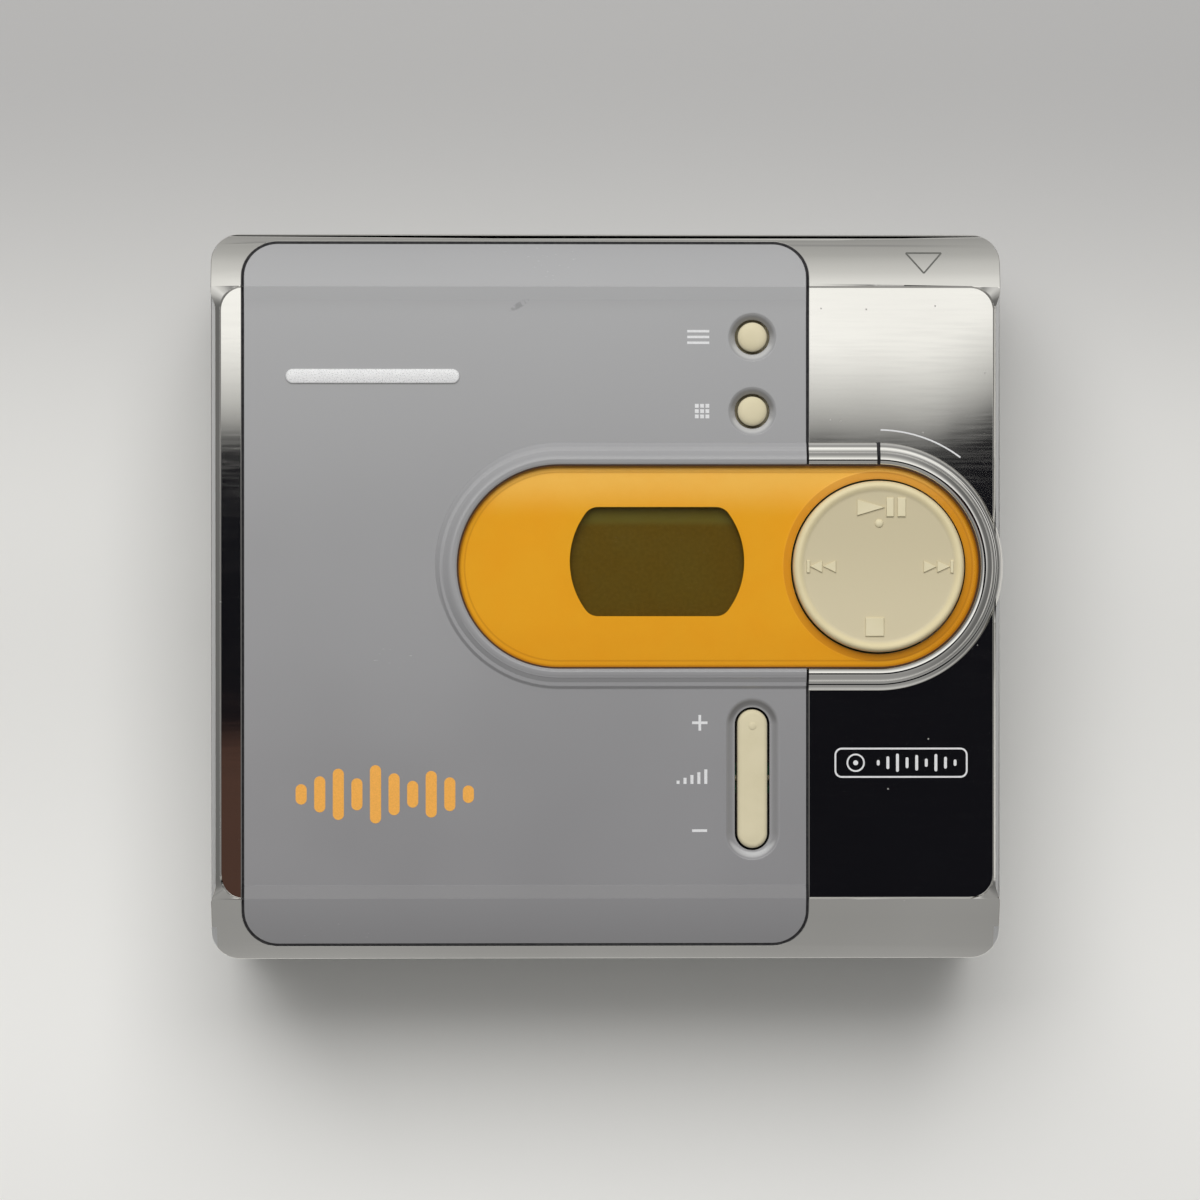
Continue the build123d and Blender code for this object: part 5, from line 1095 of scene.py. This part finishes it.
# rounded dish round the rocker, as radius and height
DISH_HALF = 5.62
dish_profile = (
    (1.81, 26.9), (1.82, 27.32), (2.1, 27.36), (2.4, 27.5), (2.62, 27.66), (2.76, 27.757), (2.86, 27.76),
    (2.87, FACE_FOOT),
)
dish_rings = [capsule(ROCKER.x, ROCKER.y, DISH_HALF, radius, z, END_COUNT) for radius, z in dish_profile]
dish_faces = loops_to_faces(RING_COUNT, len(dish_profile), closed=False)
last_ring = RING_COUNT * (len(dish_profile) - 1)
for i in range(RING_COUNT):
    j = (i + 1) % RING_COUNT
    dish_faces.append((i, j, last_ring + j, last_ring + i))
piece("rocker_dish", panel, (sum(dish_rings, []), dish_faces), 40.0)

# ---- signs on the chrome
# a frame with a disc and a row of strokes
FRAME = 0.18
box_left, box_top = photo(834.0, 747.0)
box_right, box_bottom = photo(967.0, 777.0)
box_y = (box_top + box_bottom) / 2
disc_x = box_left + 2.2
frame_outer = round_bar(box_left, box_right, box_bottom, box_top, 0.75)
frame_inner = round_bar(box_left + FRAME, box_right - FRAME, box_bottom + FRAME, box_top - FRAME, 0.57)
disc_sign = []
for outer, inner in ((frame_outer, frame_inner), (circle(disc_x, box_y, 0.95), circle(disc_x, box_y, 0.78))):
    disc_sign.append(hoop(outer, inner, PANEL_Z - INK_FOOT, PANEL_Z + INK))
disc_sign.append(flat(circle(disc_x, box_y, 0.26, 20)))
for i, share in enumerate((0.3, 0.7, 1.0, 0.6, 0.85, 0.45, 0.95, 0.65, 0.35)):
    left = box_left + 4.4 + i
    disc_sign.append(flat(round_bar(left, left + 0.3, box_y - 0.95 * share, box_y + 0.95 * share, 0.149, 4)))
printed("print_disc_sign", white_ink, disc_sign)

# a thin arc round the dial
ARC_R, ARC_WIDTH = 14.2, 0.16
arc_outer, arc_inner = (arc(DIAL.x, DIAL.y, ARC_R + way * ARC_WIDTH / 2, 53.0, 89.0, 32) for way in (1, -1))
printed("print_arc", white_ink, [flat(arc_outer + arc_inner[::-1])])


# open triangle on the front band, which follows the band's curve, drawn as thin dark lines of painted groove
# shade
def band_level(y):
    """Height of the front band at y, from the arc through its crest, middle and edge."""
    (ax, ay), (bx, by), (cx, cy) = (FRONT_CREASE, 28.0), (35.475, 27.27), (38.75, 25.7)
    d = 2 * (ax * (by - cy) + bx * (cy - ay) + cx * (ay - by))
    ux = ((ax**2 + ay**2) * (by - cy) + (bx**2 + by**2) * (cy - ay) + (cx**2 + cy**2) * (ay - by)) / d
    uy = ((ax**2 + ay**2) * (cx - bx) + (bx**2 + by**2) * (ax - cx) + (cx**2 + cy**2) * (bx - ax)) / d
    radius = hypot(ax - ux, ay - uy)
    return uy + sqrt(radius**2 - (y - ux) ** 2)


LINE_HALF = 0.085
LINE_PARTS = 8
corners = [Vector(photo(905.5, 253.0)), Vector(photo(941.0, 253.0)), Vector(photo(923.2, 273.5))]
triangle = []
for start, end in zip(corners, corners[1:] + corners[:1]):
    along = (end - start).normalized()
    side = Vector((-along.y, along.x)) * LINE_HALF
    points = []
    for k in range(LINE_PARTS + 1):
        at = start + (end - start) * k / LINE_PARTS
        for x, y in (at + side, at - side):
            points += [(x, y, band_level(y) - INK_FOOT), (x, y, band_level(y) + 0.012)]
    faces = []
    for a in range(0, 4 * LINE_PARTS, 4):
        b = a + 4
        faces += [(a + 1, b + 1, b + 3, a + 3), (a, a + 2, b + 2, b), (a, b, b + 1, a + 1)]
        faces.append((a + 2, a + 3, b + 3, b + 2))
    faces += [(0, 1, 3, 2), tuple(4 * LINE_PARTS + k for k in (0, 2, 3, 1))]
    triangle.append((points, faces))
printed("band_triangle", painted_groove_shade, triangle)

# ---- floor
FLOOR_HALF = 3.0
pale_paint = Finish("pale_floor", None, tone(222, 221, 219), 0.7)
# painted shade and painted light: the floor is painted darker behind the object and paler in front of it,
# evening out the lamp
near = pale_paint.between(pale_paint.y, 60.0, 5.0)
pale = pale_paint.blend(near, tone(178, 177, 176), tone(226, 225, 222))
pale = pale_paint.blend(pale_paint.between(pale_paint.y, 0.0, -55.0), pale, tone(246, 245, 242))
clouds = pale_paint.between(pale_paint.noise(0.004, 4.0), 0.3, 0.7, 0.0, 0.12)
pale_paint.drive("Base Color", pale_paint.blend(clouds, pale, tone(200, 199, 197)))
pale_paint.relief(pale_paint.noise(0.5, 3.0), 0.02, 0.2)
floor_mesh = bpy.data.meshes.new("floor")
floor_outline = bar(-FLOOR_HALF, FLOOR_HALF, -FLOOR_HALF, FLOOR_HALF)
floor_mesh.from_pydata([(x, y, 0) for x, y in floor_outline], [], [(0, 1, 2, 3)])
floor_mesh.materials.append(pale_paint.material)
placed("floor", floor_mesh)

# ---- world, which the chrome mirrors
world = bpy.data.worlds.new("studio")
scene.world = world
world.use_nodes = True
sky = Graph(world.node_tree)
sky_x, sky_y, sky_z = sky.axes(sky.add("ShaderNodeTexCoord").outputs["Generated"])


def sky_ramp(source, stops):
    """Greys along a value; a stop is (position, grey)."""
    node = sky.add("ShaderNodeValToRGB", {"Fac": source})
    elements = node.color_ramp.elements
    elements[0].position, elements[1].position = stops[0][0], stops[-1][0]
    for index, grey in ((0, stops[0][1]), (1, stops[-1][1])):
        elements[index].color = (grey, grey, grey * 0.985, 1)
    for position, grey in stops[1:-1]:
        elements.new(position).color = (grey, grey, grey * 0.985, 1)
    return node.outputs["Color"]


# a pale dome, brighter behind the top edge than in front of the bottom edge, and darker to both sides
behind = sky_ramp(
    sky_z, ((0.0, 0.62), (0.35, 0.32), (0.5, 0.31), (0.72, 0.44), (0.88, 0.66), (0.965, 0.9), (1.0, 1.08))
)
before = sky_ramp(
    sky_z, ((0.0, 0.62), (0.35, 0.36), (0.5, 0.31), (0.72, 0.3), (0.9, 0.31), (0.975, 0.36), (1.0, 0.9))
)
plain_dome = sky.blend(sky.between(sky_y, -0.12, 0.1), before, behind)
aside = sky.between(sky.calc("ABSOLUTE", sky_x), 0.15, 0.75)
aside = sky.product(aside, sky.between(sky_z, 0.02, 0.3))
plain_dome = sky.blend(aside, plain_dome, (0.15, 0.15, 0.148, 1))

# a dark board overhead, which the lower part of the face mirrors; its edge is soft, and slants on the right
slip = sky.product(sky.calc("MAXIMUM", sky.calc("SUBTRACT", sky_x, 0.094), 0.0), 0.6)
lift = sky.product(sky.calc("MAXIMUM", sky_x, 0.0), 0.02)
edge = sky.product(sky.total(sky.calc("SUBTRACT", sky_y, slip), lift), 10.0)
fading = sky_ramp(edge, ((0.3, 0.0), (0.335, 0.05), (0.375, 0.36), (0.46, 0.66), (0.56, 1.0)))
across = sky.product(sky.between(sky_y, -0.24, -0.16), sky.within(sky_x, -0.2, 0.24, 0.07))
inside = sky.product(across, sky.between(sky_z, 0.5, 0.6))
# a small brown card at one corner of the board
card = sky.product(sky.between(sky_x, -0.05, -0.055), sky.between(sky_y, -0.034, -0.038))
board_tone = sky.blend(card, (0.006, 0.006, 0.008, 1), (0.075, 0.04, 0.03, 1))
lit_board = sky.blend(1.0, sky.blend(1.0, plain_dome, fading, "MULTIPLY"), board_tone, "ADD")
sky.put(sky.blend(inside, plain_dome, lit_board), sky.tree.nodes["Background"].inputs["Color"])

# ---- lamp and camera
LAMP_PLACE = Vector((-0.05, 0.34, 0.56))
LAMP_AIM = Vector((0, 0, 0.02))
lamp = bpy.data.lights.new("key_lamp", "AREA")
lamp.shape = "RECTANGLE"
lamp.size, lamp.size_y = 0.6, 0.45
lamp.energy = 3.9
key_lamp = placed("key_lamp", lamp)
key_lamp.location = LAMP_PLACE
key_lamp.rotation_euler = (LAMP_AIM - LAMP_PLACE).to_track_quat("-Z", "Y").to_euler()
key_lamp.visible_glossy = False
key_lamp.visible_camera = False

CAMERA_AIM = Vector((-0.60, -0.32, 26.0)) * MM
CAMERA_DISTANCE = 0.45
camera_data = bpy.data.cameras.new("camera")
camera_data.lens = 129.5
camera_data.clip_start = 0.01
camera_data.clip_end = 20.0
camera = placed("camera", camera_data)
camera.rotation_euler = (radians(-0.23), radians(-0.93), radians(-0.01))
camera.location = CAMERA_AIM + camera.rotation_euler.to_matrix() @ Vector((0, 0, CAMERA_DISTANCE))
scene.camera = camera
scene.view_settings.view_transform = "Standard"

bpy.context.view_layer.update()
